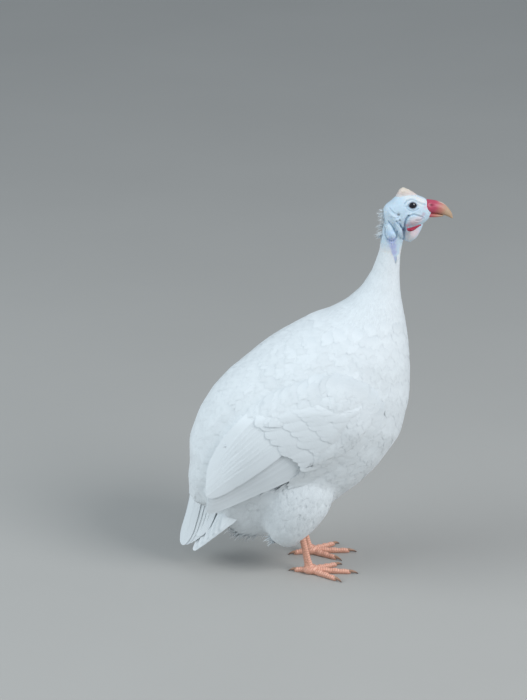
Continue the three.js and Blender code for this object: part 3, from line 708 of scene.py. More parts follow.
class Feathers:
    """Long feathers of one piece, gathered into one mesh."""

    def __init__(self):
        self.points, self.faces, self.spots, self.shades, self.homes = [], [], [], [], []

    def add(self, grid, shade, home):
        """A feather from a grid of points, rows along it and columns across, closed underneath."""
        first, rows, columns = len(self.points), len(grid), len(grid[0])
        for r, row in enumerate(grid):
            self.points += row
            self.spots += [(c / (columns - 1), r / (rows - 1)) for c in range(columns)]
        self.faces += vane_faces(rows, columns, first)
        self.shades += [shade] * (rows * columns)
        self.homes += [home] * (rows * columns)

    def both_sides(self):
        """Adds the mirror image of every feather, for the other side of the bird."""
        count = len(self.points)
        self.points += [p * MIRROR for p in self.points]
        self.faces += [tuple(count + k for k in reversed(face)) for face in self.faces]
        self.spots += self.spots
        self.shades += [(s * 7.31) % 1 for s in self.shades]
        self.homes += [(1 - u, v) for u, v in self.homes]

    def piece(self, name, material, slot, *replaced):
        mesh = mesh_from(name, self.points, self.faces)
        mesh.materials.append(material)
        outward_faces(mesh)
        keep(mesh, "shade", "FLOAT", self.shades)
        vane = mesh.uv_layers.new(name="vane")
        bake = mesh.uv_layers.new(name="OFBake")
        for loop in mesh.loops:
            spot, home = self.spots[loop.vertex_index], self.homes[loop.vertex_index]
            vane.data[loop.index].uv = spot
            bake.data[loop.index].uv = [h + PATCH_SIZE * (s - 0.5) for h, s in zip(home, spot)]
        mesh.set_sharp_from_angle(angle=EDGE_ANGLE)
        tied(linked(name, mesh), slot, *replaced)


QUILL_WIDTHS = ((0, 0.34), (0.12, 0.7), (0.4, 1.0), (0.75, 0.97), (0.9, 0.82), (0.97, 0.62), (1, 0.45))
COVERT_WIDTHS = ((0, 0.4), (0.3, 0.9), (0.6, 1.0), (0.85, 0.92), (0.95, 0.76), (1, 0.55))
TAIL_WIDTHS = ((0, 0.4), (0.12, 0.75), (0.4, 1.0), (0.72, 0.95), (0.88, 0.7), (1, 0.22))
ROUND_TIP = ((0, 0.4), (0.12, 0.75), (0.4, 1.0), (0.85, 0.98), (0.95, 0.8), (1, 0.5))
WING_TUCK = 6.5
WING_SETTLE = 0.8
NOTCH = 0.05
RAGGED_EDGE = 0.014
ACROSS = (-1, -0.8, -0.55, -0.3, -0.06, 0, 0.06, 0.3, 0.55, 0.8, 1)
wing_dice = random.Random(17)


def mixed(a, b, share):
    return a + (b - a) * share


def mixed_spot(a, b, share):
    return tuple(mixed(p, q, share) for p, q in zip(a, b))


def laid_vane(root, tip, half, lifts, widths, rows, bow, roll, shaft=0.35, bulge=0.55):
    """A feather on the flank from root to tip, given in x and z. Sizes are in mm, half is half its width."""
    root, tip = (Vector((SOLID_SHIFT + x * MM, z * MM)) for x, z in (root, tip))
    run = tip - root
    across = Vector((-run.y, run.x)).normalized()
    edges = (0, len(ACROSS) - 1)
    notches = {wing_dice.randrange(rows // 3, rows - 2): wing_dice.choice(edges) for _ in range(2)}

    def on_flank(along):
        return on_wing_curve(*(root + run * along + across * (4 * bow * MM * along * (1 - along))))

    grid = []
    for r in range(rows):
        along = (r / (rows - 1)) ** 0.9
        place, normal = on_flank(along)
        ahead = (on_flank(along + 0.02)[0] - place).normalized()
        side = normal.cross(ahead).normalized()
        wide = half * MM * np.interp(along, *zip(*widths))
        lift = mixed(lifts[0], lifts[1], 1 - (1 - along) ** 3) * MM
        row = []
        for c, share in enumerate(ACROSS):
            cut = 1 - (NOTCH if notches.get(r) == c else 0)
            cut -= RAGGED_EDGE * wing_dice.random() if c in edges else 0
            sweep = bulge * abs(share) ** 1.7 * wide * (0.25 + 0.75 * along)
            flat = place + side * share * wide * cut - ahead * sweep
            foot, out, _, _ = wing_curve.find_nearest(flat)
            if out.dot(normal) < 0:
                out = -out
            ridge = shaft * (1 - 0.7 * along) if share == 0 else 0
            hidden = WING_TUCK * tucked(foot.x / MM, foot.z / MM)
            curl = roll * share * half - 0.045 * half * share * share
            height = lift + (curl + ridge - hidden - WING_SETTLE) * MM
            row.append(foot + out * height)
        grid.append(row)
    return grid


def flank_home(root):
    """The place of a feather's root on the unwrap of the skin."""
    spot = np.array([[SOLID_SHIFT + root[0] * MM, -0.07, root[1] * MM]])
    back, _ = along_spine(spot)
    return 0.25 + (root[1] - 150) * 0.0005, float(back[0] / run.max())


FLIGHT_ROWS = (
    # how many, then from the lowest to the highest: roots, tips, how evenly the tips lie, half widths, lifts
    # at the root and the tip, bows, and last the roll
    (9, ((32, 170), (-2, 202)), ((-120, 84), (-116, 103)), 0.9, (9.5, 11), ((-2, 0.4), (-1, 3)),
     (-3, 0), 0.04),
    (8, ((-4, 208), (-22, 236)), ((-118, 106), (-115, 122)), 1, (12.5, 12.5), ((-1.5, 5.8), (-1.5, 4.2)),
     (0, -11), 0.05),
)
flights = Feathers()
for count, roots, tips, even, halves, lifts, bows, roll in FLIGHT_ROWS:
    for i in range(count):
        f = i / (count - 1)
        root, tip = mixed_spot(*roots, f), mixed_spot(*tips, f**even)
        grid = laid_vane(root, tip, mixed(*halves, f), mixed_spot(*lifts, f), QUILL_WIDTHS, 44,
                         mixed(*bows, f), roll)
        flights.add(grid, wing_dice.random(), flank_home(root))
flights.both_sides()
flight_paint = feather_paint("flight_keratin", PLUMAGE_COLOUR, PLUMAGE_COLOUR, 0.3, 34.0)
flights.piece("flight_feathers", flight_paint, "plumage", "wing_right", "wing_left")

COVERT_ROWS = (  # how many, the lowest root, the highest root, length, height of the tips
    (11, (28, 176), (-20, 228), 54, 4.6), (11, (40, 186), (-6, 236), 48, 4.9),
    (10, (52, 196), (8, 240), 42, 5.0), (9, (60, 206), (22, 244), 36, 4.8),
    (8, (66, 214), (36, 246), 31, 4.4),
)
coverts = Feathers()
for count, low_root, high_root, length, tip_lift in COVERT_ROWS:
    for i in range(count):
        f = i / (count - 1)
        root = mixed_spot(low_root, high_root, f)
        root = (root[0] + wing_dice.uniform(-1.5, 1.5), root[1] + wing_dice.uniform(-1, 1))
        heading = mixed(-2.58, -2.44, f) + wing_dice.uniform(-0.05, 0.05)
        long = length * wing_dice.uniform(0.94, 1.06)
        tip = (root[0] + long * math.cos(heading), root[1] + long * math.sin(heading))
        half = 13 * wing_dice.uniform(0.93, 1.07)
        grid = laid_vane(root, tip, half, (-1.2, tip_lift), COVERT_WIDTHS, 16, 0, 0.04, 0.12, 0.8)
        coverts.add(grid, wing_dice.random(), flank_home(root))
coverts.both_sides()
coverts.piece("wing_coverts", flight_paint, "plumage")

# Tail
# A short drooping tail: its long feathers lean against each other like a steep roof, the middle pair on top
# and the outer ones stepped below it. The feathers of the rump run down over their roots.


def hung_vane(root, tip, lean, half, widths, rows, sweep):
    """A straight tail feather from root to tip, in mm, its face turned out to its side by lean."""
    start, stop = (Vector((SOLID_SHIFT + p[0] * MM, -p[1] * MM, p[2] * MM)) for p in (root, tip))
    normal = Vector((-math.cos(lean), -math.sin(lean), 0.25)).normalized()
    ahead = (stop - start).normalized()
    side = normal.cross(ahead).normalized()
    grid = []
    for r in range(rows):
        along = (r / (rows - 1)) ** 0.9
        place = start.lerp(stop, along) + Vector((sweep * MM * along * (1 - along), 0, 0))
        wide = half * MM * np.interp(along, *zip(*widths))
        row = []
        for share in ACROSS:
            ragged = 0.015 * wing_dice.random() if abs(share) == 1 else 0
            back = 0.6 * abs(share) ** 1.7 * wide * (0.2 + 0.8 * along)
            ridge = 0.35 * (1 - 0.7 * along) * MM if share == 0 else 0
            droop = -0.10 * wide * share * share
            row.append(place + side * share * wide * (1 - ragged) - ahead * back + normal * (droop + ridge))
        grid.append(row)
    return grid


TAIL_HALF = 9.8
TAIL_EACH = 6
TAIL_LOBES = (
    # from the middle pair outwards: roots, tips, how late the tips' heights rise, leans, widths, sweeps
    (((-129, 7, 120), (-107, 15, 120)), ((-148, 7.4, 25.5), (-130, 16.5, 40)), 1.5, (0.8, 1.0), ROUND_TIP,
     (14, 14)),
    (((-91, 12, 91), (-60, 30, 123)), ((-135, 17, 23), (-104, 34, 55)), 1, (1.05, 1.35), TAIL_WIDTHS,
     (8, 2)),
)
tail = Feathers()
for roots, tips, late, leans, widths, sweeps in TAIL_LOBES:
    for i in range(TAIL_EACH):
        f = i / (TAIL_EACH - 1)
        root = mixed_spot(*roots, f)
        tip = (*mixed_spot(*tips, f)[:2], mixed(tips[0][2], tips[1][2], f**late))
        grid = hung_vane(root, tip, mixed(*leans, f), TAIL_HALF, widths, 30, mixed(*sweeps, f))
        tail.add(grid, wing_dice.random(), (0.45 + root[1] * 0.001, 0.98))
tail.both_sides()
tail.piece("tail_feathers", flight_paint, "plumage", "tail")

# Wisps
# Fine curling tufts of down hang behind the thighs under the vent, and hair-like ones stand off the nape.
VENT_TUFTS = 260
VENT_BOX = ((-0.098, -0.05), (-0.044, 0.0), (0.01, 0.04))
wisp_dice = random.Random(29)


def wisp(root, out, heading, long, half, curl, rows):
    """One tapering tuft from its root, in metres, that starts along heading and curls about its own side."""
    place, way = root, heading.normalized()
    grid = []
    for r in range(rows):
        share = r / (rows - 1)
        side = way.cross(out).normalized()
        ridge = side.cross(way).normalized()
        wide = half * MM * min(1, 0.45 + 4 * share) * (1 - share) ** 0.6 + 0.00008
        grid.append([place - side * wide, place + ridge * 0.4 * wide, place + side * wide])
        way = Matrix.Rotation(curl * (0.4 + 1.2 * share) / rows, 3, side) @ way
        place = place + way * (long * MM / (rows - 1))
    return grid


def jitter(most):
    return Vector([wisp_dice.uniform(-most, most) for _ in range(3)])


wisps = Feathers()
low_skin = tree_of(envelope)
for _ in range(VENT_TUFTS):
    spot = Vector([wisp_dice.uniform(*ends) for ends in VENT_BOX])
    foot, out, _, _ = low_skin.find_nearest(spot)
    heading = Vector((-0.8, -0.2, -0.4)) + jitter(0.35)
    heading = heading - out * heading.dot(out) + out * 0.3
    tuft = wisp(foot + out * 0.002, out, heading, wisp_dice.uniform(7, 14), wisp_dice.uniform(0.5, 1.0),
                wisp_dice.uniform(-1.8, 1.4), 8)
    wisps.add(tuft, wisp_dice.random(), (0.02, 0.7))
wisps.both_sides()
wisps.piece("vent_wisps", fluff, "plumage")

# Head
# The head is bare: thin blue-white skin drawn over the skull, with folds on the cheek and nape, a dewlap
# under the chin, sunken ears and soft lids. It is one skin with the feathered neck below it.
HEAD_GRAIN = 0.00062
SKULL = (  # from the nape to the bill: x, y, z, reach above, below and to each side
    (72.5, 0, 414, 3, 6, 3), (75, 0, 414, 7.5, 16, 8), (80.5, 0, 414, 12, 20, 11.5),
    (87, 0, 414, 17.6, 20.5, 13.6), (96, 0, 414, 20.4, 20, 14.6), (104, 0, 414, 19.8, 18, 14),
    (111, 0, 414, 17.4, 16, 12.2), (117, 0, 414, 14.6, 12, 9.6), (121, 0, 414, 11, 8, 7),
    (123.5, 0, 414, 5.6, 4, 4),
)
DEWLAP = (
    (112, 0, 408, 5, 5, 4.5), (108, 0, 401, 7.8, 8, 6.8), (103.6, 0, 393, 8.6, 9, 7.6),
    (101, 0, 386, 7.2, 8, 6.4), (100, 0, 380.6, 3.4, 4, 3.2),
)
NECK_TOP = (
    (72, 0, 312, 22, 17, 19), (76, 0, 332, 17, 12, 16), (79, 0, 352, 13.8, 11.0, 12.2),
    (81, 0, 371, 12, 11.2, 11.5), (85, 0, 398, 12.4, 11.8, 11.6), (87, 0, 408, 10, 10, 10),
)
CHEEK_FOLDS = (
    ((84, -13.2, 411, 1.2, 1.2, 1.2), (87.5, -13.6, 403, 1.9, 1.9, 1.8), (90.5, -12, 394, 2.1, 2.1, 2),
     (93, -8.7, 387, 1.5, 1.5, 1.5)),
    ((77, -8.6, 402, 1.6, 1.6, 1.6), (80, -10.6, 396, 3.4, 3.4, 3), (82, -10.4, 390, 3.6, 3.6, 3),
     (83.5, -10.2, 384.5, 1.8, 1.8, 1.8)),
    ((77.5, -8.5, 417, 1.2, 1.2, 1.2), (82, -12.2, 413, 1.9, 1.9, 1.8), (88.5, -14, 408, 1.4, 1.4, 1.4)),
)
# Each crease is sunk into the skin, and its hollow is darkened with painted shade.
CREASES = (  # points in x and z along the crease, half width, depth, how dark
    (((96.8, 426.3), (99, 428.8), (102.7, 430.3), (107, 429.8), (110.8, 427.6), (114.6, 425.7), (119, 424)),
     .8, .7, .5),
    (((98.4, 423.5), (99.4, 421.2), (102, 419.3), (105.4, 418.4), (109.2, 419.2), (111.5, 420.5)),
     .7, .55, .4),
    (((101.1, 413.3), (98.5, 409.8), (97.4, 404.9), (97.2, 397.7), (96.6, 389), (96.4, 384)), 1.1, 1.7, .6),
    (((101.1, 413.3), (107, 414.8), (112.5, 412.6), (116, 411)), .8, .8, .5),
    (((80, 405.9), (83.3, 402), (86, 398.2), (87.6, 393)), .8, .9, .6),
    (((88.3, 407.2), (91.1, 403.8), (94.6, 398.8), (96.6, 394)), .9, 1.1, .75),
    (((76.4, 397.5), (76.7, 390.9), (79.4, 385.4), (84, 383.6), (88.6, 388), (89.4, 395)), .9, 1.2, .55),
    (((81, 420.5), (84, 417.4), (87.2, 415.4)), .6, .5, .35),
    (((83.5, 411.6), (87, 410.8), (90, 411.4)), .6, .5, .4),
    (((109, 408.5), (113, 407.5), (117.4, 409.5)), .7, .6, .45),
)
SKIN_COLOUR = (0.60, 0.74, 0.85)
# Patches of the bare skin's own colour, and a few spots of painted shade in the ear holes and cheek creases.
STAINS_AND_SHADE = (  # place in x and z, how far it reaches, colour, strength
    ((115, 431), 9, (0.86, 0.86, 0.84), .8), ((103, 434), 9, (0.84, 0.86, 0.86), .6),
    ((107, 406.5), 6, (0.80, 0.66, 0.68), .8), ((113, 409), 5, (0.78, 0.62, 0.64), .6),
    ((104, 389), 8, (0.80, 0.76, 0.76), .8), ((109, 393), 6, (0.86, 0.66, 0.70), .7),
    # Painted shade: the blue-grey spot at (96.5, 395), where two cheek creases meet.
    ((100, 402), 2.6, (0.74, 0.30, 0.38), .5), ((96.5, 395), 3, (0.42, 0.46, 0.62), .7),
    ((84, 385), 5.5, (0.40, 0.46, 0.74), .8), ((85, 378), 5.0, (0.42, 0.46, 0.74), .85),
    ((86, 371), 4.2, (0.44, 0.46, 0.72), .85), ((87, 364), 3.2, (0.46, 0.48, 0.70), .8),
    ((87.6, 358), 2.0, (0.46, 0.46, 0.62), .7), ((82, 393), 4.5, (0.52, 0.70, 0.92), .7),
    # Painted shade: the dark spot at (85, 397), in a cheek crease.
    ((85, 397), 2.4, (0.36, 0.52, 0.68), .7), ((117.5, 414), 2.6, (0.55, 0.42, 0.52), .6),
    # Painted shade: the two dark spots in the ear holes.
    ((90.3, 414.4), 1.7, (0.10, 0.14, 0.20), .95), ((91.5, 408.2), 1.3, (0.16, 0.22, 0.32), .8),
    ((119.5, 421), 2.6, (0.80, 0.60, 0.68), .5),
)
SWELLINGS = (  # place in x and z, how far it reaches, how high
    ((105, 407.6), 4.6, 1.5), ((111, 409.4), 3.4, 0.9), ((82.6, 391.5), 4.6, 1.3), ((80.5, 402), 4.5, 0.9),
    ((104.5, 390), 5, 0.7),
)
EAR_HOLES = (((90.3, 414.4), 1.7, 1.6), ((91.5, 408.2), 1.1, 0.7))
EYE_BALL = 6.2
EYE_OPEN = (4.6, 3.15)
EYE_GAZE = Vector((0.10, -0.96, 0.24)).normalized()
EYE_SUNK = 0.9
LID_RISE = 1.75
LID_FALL = 0.6
LID_SHADE = (0.16, 0.21, 0.32)
COVERED_SKIN = (0.8, 0.8, 0.8)


def tubes_mesh(*tubes, name="tubes"):
    """Several closed tubes in one mesh. Each is its rows, rings, sides and level direction."""
    points, faces = [], []
    for rows, rings, sides, level in tubes:
        faces += tube_faces(rings, sides, len(points))
        points += [tuple(p) for p in tube_rings(rows, rings, sides, level).reshape(-1, 3)]
    mesh = bpy.data.meshes.new(name)
    mesh.from_pydata(points, [], faces)
    outward_faces(mesh)
    return mesh


def away_from(flat, place):
    """How far points in a plane lie from a place in it."""
    return np.linalg.norm(flat - np.array(place), axis=1)


def lumps_at(points, scale):
    """Soft random lumps, below and above 0, at each point."""
    return np.array([noise.fractal(Vector(p) * scale, 1.0, 2.0, 3) for p in points])


def on_side(vector, side):
    """A vector of the right side, or its mirror image for the left one."""
    return Vector((vector.x, side * vector.y, vector.z))


def rows_on_side(rows, side):
    return [(x, side * y, z, *size) for x, y, z, *size in rows]


head_tubes = [(SKULL, 60, 48, LEVEL_ACROSS), (DEWLAP, 30, 32, LEVEL_ACROSS), (NECK_TOP, 50, 40, LEVEL_ACROSS)]
head_tubes += [(rows_on_side(rows, side), 20, 12, (1, 0, 0)) for side, _ in SIDES for rows in CHEEK_FOLDS]
head = fused(tubes_mesh(*head_tubes), HEAD_GRAIN, 7, "head_skin")
bare, bare_out = points_of(head) / MM, normals_of(head)
flat = bare[:, [0, 2]]
sideways = smoothstep(np.abs(bare_out[:, 1]), 0.15, 0.5)
shift = np.zeros(len(bare))
tint = np.array(SKIN_COLOUR)
# Colour patches of the skin, and spots of painted shade in its hollows.
for place, reach, colour, strength in STAINS_AND_SHADE:
    within = 1 - smoothstep(away_from(flat, place), 0.35 * reach, 1.25 * reach)
    tint = towards(tint, colour, strength * within * sideways)
for line, half, deep, painted_shade in CREASES:
    _, away = along_line(flat, line)
    hollow = bell(away, half) * sideways
    rim = bell(away - 2.1 * half, 1.2 * half) * sideways
    shift += deep * (0.35 * rim - hollow)
    # Painted shade along the crease's hollow.
    tint *= 1 - 0.75 * painted_shade * hollow[:, None] * np.array([1, 0.82, 0.66])
for place, reach, deep in EAR_HOLES:
    away = away_from(flat, place)
    shift += (0.35 * bell(away - 2 * reach, reach) - deep * bell(away, reach)) * sideways
for place, reach, high in SWELLINGS:
    shift += high * bell(away_from(flat, place), reach) * sideways
shift += 0.11 * lumps_at(bare * (1, 1, 0.6), 0.9)
bare = bare + bare_out * shift[:, None]
for side, _ in SIDES:
    gaze = on_side(EYE_GAZE, side)
    centre = on_side(box_middle("eye_right") / MM, side)
    upward = (Vector((0, 0, 1)) - gaze * gaze.z).normalized()
    onward = upward.cross(gaze) * (1 if side < 0 else -1)
    local = bare - np.array(centre)
    facing = local @ np.array(gaze)
    wide = local @ np.array(onward) / EYE_OPEN[0]
    high = local @ np.array(upward) / (EYE_OPEN[1] * (1 - 0.22 * np.clip(wide * wide, 0, 1)))
    spread = np.hypot(wide, high)
    near = (facing > 2) & (spread < 2)
    ball = EYE_BALL - EYE_SUNK + LID_RISE * smoothstep(spread, 0.86, 1.06)
    ball -= LID_FALL * smoothstep(spread, 1.1, 1.5)
    lidded = np.array(centre) + unit(local) * ball[:, None]
    bare = towards(bare, lidded, near * (1 - smoothstep(spread, 1.2, 1.75)))
    tint = towards(tint, LID_SHADE, 0.75 * near * bell(spread - 1.08, 0.22))
placed(head, bare)
feathered = 1 - smoothstep(bare[:, 2], 368, 384)
patch_x = np.interp(bare[:, 2] * MM, PATCH_HEIGHTS, PATCH_MIDDLES) / MM
patch_reach = np.interp(bare[:, 2], (357, 386), (1.2, 7.2))
off_patch = smoothstep(np.abs(bare[:, 0] - patch_x) / patch_reach, 0.8, 1.3)
feathered = feathered * np.maximum(off_patch, 1 - smoothstep(np.abs(bare_out[:, 1]), 0.3, 0.6))


def flesh_paint(name, roughness, fine, bumpy, subsurface=0.08):
    """Living skin: its own tint, mottled a little, with fine wrinkles and a slight shine."""
    material, shader, nodes = painted(
        name, SKIN_COLOUR, roughness, Subsurface_Weight=subsurface, Subsurface_Scale=1.0,
        Subsurface_Radius=(0.0025, 0.0012, 0.0008))
    own = nodes.add("ShaderNodeAttribute", attribute_name="tint").outputs["Color"]
    mottle = nodes.add("ShaderNodeTexNoise", Vector=nodes.here(), Scale=260.0, Detail=4.0).outputs["Fac"]
    pores = nodes.add("ShaderNodeTexVoronoi", Vector=nodes.here(), Scale=fine).outputs["Distance"]
    shades = nodes.ranged(mottle, To_Min=0.90, To_Max=1.07)
    nodes.fill(shader["Base Color"], nodes.blend("MULTIPLY", 1.0, own, shades))
    relief = nodes.maths("ADD", mottle, pores)
    bump = nodes.add("ShaderNodeBump", Strength=bumpy, Distance=0.0005, Height=relief)
    nodes.fill(shader["Normal"], bump.outputs["Normal"])
    return material


def united(name, *objects):
    """The objects joined into the first one."""
    with bpy.context.temp_override(active_object=objects[0], selected_editable_objects=list(objects)):
        bpy.ops.object.join()
    objects[0].name = name
    return objects[0]


skin_paint = flesh_paint("face_skin", 0.5, 1100.0, 0.35)
coloured(envelope, np.tile((0.80, 0.84, 0.86), (len(outer), 1)), skin_paint)
coloured(head, towards(tint, COVERED_SKIN, feathered), skin_paint)
whole_skin = united("skin", linked("skin", envelope), linked("head_skin", head))
tied(whole_skin, "skin", "torso", "neck", "head", "thigh_right", "thigh_left")

# Bill
# Two sheaths of horn, crimson and fleshy at the root and tan towards the hooked tip, with a slit of a
# nostril under a soft lid on each side.
UPPER_BILL = (
    (115, 0, 420, 7, 5.4, 6.6), (120, 0, 420, 7.6, 6.6, 7.2), (128, 0, 419.4, 7, 7, 6.2),
    (134.5, 0, 417, 6.5, 5.9, 4.9), (139.5, 0, 413.9, 5, 4.4, 3.7), (143.5, 0, 410.6, 3.3, 2.8, 2.4),
    (146, 0, 407.8, 1.5, 1.4, 1.2), (147, 0, 406.4, .5, .5, .4),
)
LOWER_BILL = (
    (113, 0, 411, 3, 3.6, 5.8), (121, 0, 410.6, 3, 2.8, 5.3), (130, 0, 410, 2, 2.2, 3.9),
    (137, 0, 409.6, .8, 1, 1.7),
)
BILL_ROOT = (0.50, 0.068, 0.125)
BILL_MIDDLE = (0.52, 0.20, 0.15)
BILL_TIP = (0.50, 0.34, 0.22)
BILL_RIDGE = (0.78, 0.66, 0.56)
UPPER_STOPS = ((118, BILL_ROOT), (128.5, BILL_ROOT), (136, BILL_MIDDLE), (142.5, BILL_TIP), (150, BILL_TIP))
LOWER_STOPS = ((115, BILL_ROOT), (124, BILL_ROOT), (131, BILL_MIDDLE), (138, BILL_TIP))
NOSTRIL = (125.8, 422.9, 2.3, 0.95)


def blended(values, stops):
    """Colours along a value, from stops of a value and a colour each."""
    at, colours = zip(*stops)
    return np.stack([np.interp(values, at, channel) for channel in zip(*colours)], axis=1)


def horn_piece(name, rows, rings, sides, shape, slot, material, replaced, level=LEVEL_ACROSS):
    """A closed tube whose points and tint a function of its own then works over."""
    mesh = tubes_mesh((rows, rings, sides, level), name=name)
    points, colours = shape(points_of(mesh) / MM, normals_of(mesh))
    placed(mesh, points)
    coloured(mesh, colours, material)
    tied(linked(name, mesh), slot, replaced)


def upper_shape(points, out):
    along = points[:, 0] - SOLID_SHIFT / MM
    path = np.array(UPPER_BILL)
    middle, above = (np.interp(along, path[:, 0], path[:, k]) for k in (2, 3))
    rise = np.clip((points[:, 2] - middle) / above, -1, 1)
    points[:, 1] *= np.where(rise > 0, 1 - 0.30 * rise * rise, 1 + 0.10 * np.abs(rise))
    streaks = np.array([noise.noise(Vector(p)) for p in points * (0.10, 0.5, 0.5)])
    along = points[:, 0] + 1.6 * streaks - 0.35 * (points[:, 2] - 415)
    slit_x, slit_z, long, high = NOSTRIL
    over = points[:, 2] - slit_z
    slit = np.hypot((points[:, 0] - slit_x + 0.5 * over) / long, over / high)
    deep = 1.3 * np.exp(-(slit**2) * 1.2) - 0.45 * bell(slit - 1.9, 0.6) * (over > 0)
    ridge = smoothstep(out[:, 2] - 0.35 * np.abs(out[:, 1]), 0.45, 0.95) * smoothstep(along, 126, 136)
    base = towards(blended(along, UPPER_STOPS), BILL_RIDGE, ridge)
    # Painted shade in the nostril slit.
    painted_shade = np.exp(-(slit**2) * 1.6)[:, None]
    return points - out * deep[:, None], base * (1 - 0.85 * painted_shade)


def lower_shape(points, out):
    return points, blended(points[:, 0], LOWER_STOPS)


horn = flesh_paint("bill_horn", 0.42, 500.0, 0.14, 0.04)
horn_piece("upper_bill", UPPER_BILL, 64, 40, upper_shape, "bill", horn, "bill_upper")
horn_piece("lower_bill", LOWER_BILL, 40, 28, lower_shape, "bill", horn, "bill_lower")

# Casque
# A low bony knob on the crown, leaning back, with dull pinkish skin that is paler at its top.
CASQUE = (
    (93, 0, 430, 8, 18, 6.2), (93, 0, 434.6, 5.8, 13, 4.6), (93, 0, 438, 4, 7.2, 3.3),
    (93, 0, 440, 2, 3.2, 1.9), (93, 0, 440.8, .8, 1, .7),
)
CASQUE_STOPS = (
    (429, SKIN_COLOUR), (432, (0.72, 0.70, 0.70)), (435, (0.70, 0.60, 0.56)), (440, (0.76, 0.68, 0.58)),
)


def casque_shape(points, out):
    lumps = lumps_at(points, 0.35)[:, None]
    points = points + out * 0.35 * lumps
    # The colour follows the lumps, lighter on them and darker between them: painted light and shade.
    return points, blended(points[:, 2], CASQUE_STOPS) * (1 + 0.15 * lumps)


casque_horn = flesh_paint("casque_horn", 0.6, 700.0, 0.5, 0.05)
horn_piece("helmet", CASQUE, 40, 40, casque_shape, "casque", casque_horn, "casque")

# Wattles
# A small fleshy flap hangs back from each corner of the mouth, crimson below and pink along its root.
WATTLE = (
    (112.8, -10.4, 402.2, .5, .5, .6), (109.5, -12, 401.2, 1.0, 1.1, 1.1),
    (106.4, -13.6, 400.0, 1.6, 1.9, 1.5), (103, -15.2, 398.9, 2.2, 3.6, 1.9),
    (100.2, -16.2, 398.6, 2.4, 4.0, 1.9), (97.7, -16.6, 399.4, 1.4, 2.2, 1.2),
)
WATTLE_RED = (0.38, 0.012, 0.05)
WATTLE_PINK = (0.72, 0.24, 0.30)


def wattle_shape(points, out):
    folds = lumps_at(points, 0.6)[:, None]
    points = points + out * 0.16 * folds
    up = smoothstep(points[:, 2] - 0.16 * (points[:, 0] - 100), 399.6, 402.6)
    # The colour follows the folds, lighter on them and darker between them: painted light and shade.
    return points, towards(WATTLE_RED, WATTLE_PINK, up) * (1 + 0.25 * folds)


wattle_flesh = flesh_paint("wattle_flesh", 0.42, 1300.0, 0.4, 0.06)
for side, label in SIDES:
    horn_piece(f"wattle_flap_{label}", rows_on_side(WATTLE, side), 40, 28, wattle_shape, "wattle",
               wattle_flesh, f"wattle_{label}", (0, 0.25, 0.97))

# Eyes
# A dark wet ball in each socket, ringed by the thin edge of the lids.
EYE_DARK = (0.004, 0.005, 0.012)
IRIS = (0.014, 0.011, 0.016)
CORNEA_BULGE = 1.04
eye_wet = flesh_paint("eye_wet", 0.06, 300.0, 0.0, 0.0)
for side, label in SIDES:
    name, centre, gaze = f"eyeball_{label}", box_middle(f"eye_{label}"), on_side(EYE_GAZE, side)
    mesh = bpy.data.meshes.new(name)
    with worked(mesh) as ball:
        bmesh.ops.create_uvsphere(ball, u_segments=48, v_segments=32, radius=EYE_BALL * MM)
        for vert in ball.verts:
            if vert.co.z > 0:
                vert.co.z *= CORNEA_BULGE
        turn = gaze.to_track_quat("Z", "Y").to_matrix().to_4x4()
        bmesh.ops.transform(ball, matrix=Matrix.Translation(centre) @ turn, verts=ball.verts)
    facing = unit(points_of(mesh) - np.array(centre)) @ np.array(gaze)
    ring = smoothstep(facing, 0.80, 0.84) * (1 - smoothstep(facing, 0.93, 0.95))
    coloured(mesh, towards(EYE_DARK, IRIS, ring), eye_wet)
    tied(linked(name, mesh), "eye", f"eye_{label}")

# Nape plumes
# Sparse hair-like plumes stand on the bare nape and hind neck, longest in a few loose locks at the back of
# the head, where they curl up and outwards.
LOCKS = 11
LOCK_PLUMES = 9
NAPE_PLUMES = 520
plumes = Feathers()
head_tree = tree_of(head)


def plant_plume(spot, heading, long, half, curl):
    foot, out, _, _ = head_tree.find_nearest(Vector(spot) * MM)
    tuft = wisp(foot - out * ROOT_DEPTH, out, heading + out * 0.55, long, half, curl, 9)
    plumes.add(tuft, wisp_dice.random(), (0.02 + 0.0005 * spot[1], 0.02))


for lock in range(LOCKS):
    lock_z = 417 - 3.1 * lock
    lock_y = wisp_dice.uniform(-4.5, 4.5)
    lean = Vector((-0.9, wisp_dice.uniform(-0.5, 0.5), wisp_dice.uniform(-0.75, 0.05)))
    for _ in range(LOCK_PLUMES):
        spot = (70, lock_y + wisp_dice.uniform(-2, 2), lock_z + wisp_dice.uniform(-1.6, 1.6))
        heading = lean + jitter(0.22)
        plant_plume(spot, heading, wisp_dice.uniform(5, 10.5), 0.34, wisp_dice.uniform(-1.9, -0.6))
for _ in range(NAPE_PLUMES):
    height = wisp_dice.uniform(376, 424)
    spot = (wisp_dice.uniform(70, 92), wisp_dice.choice((-1, 1)) * wisp_dice.uniform(0, 16), height)
    heading = Vector((-0.9, 0, -1.5)) + jitter(0.2)
    plant_plume(spot, heading, wisp_dice.uniform(1.6, 3.4), 0.08, wisp_dice.uniform(-0.6, 0.4))
plumes.piece("nape_plumes", fluff, "plumage")

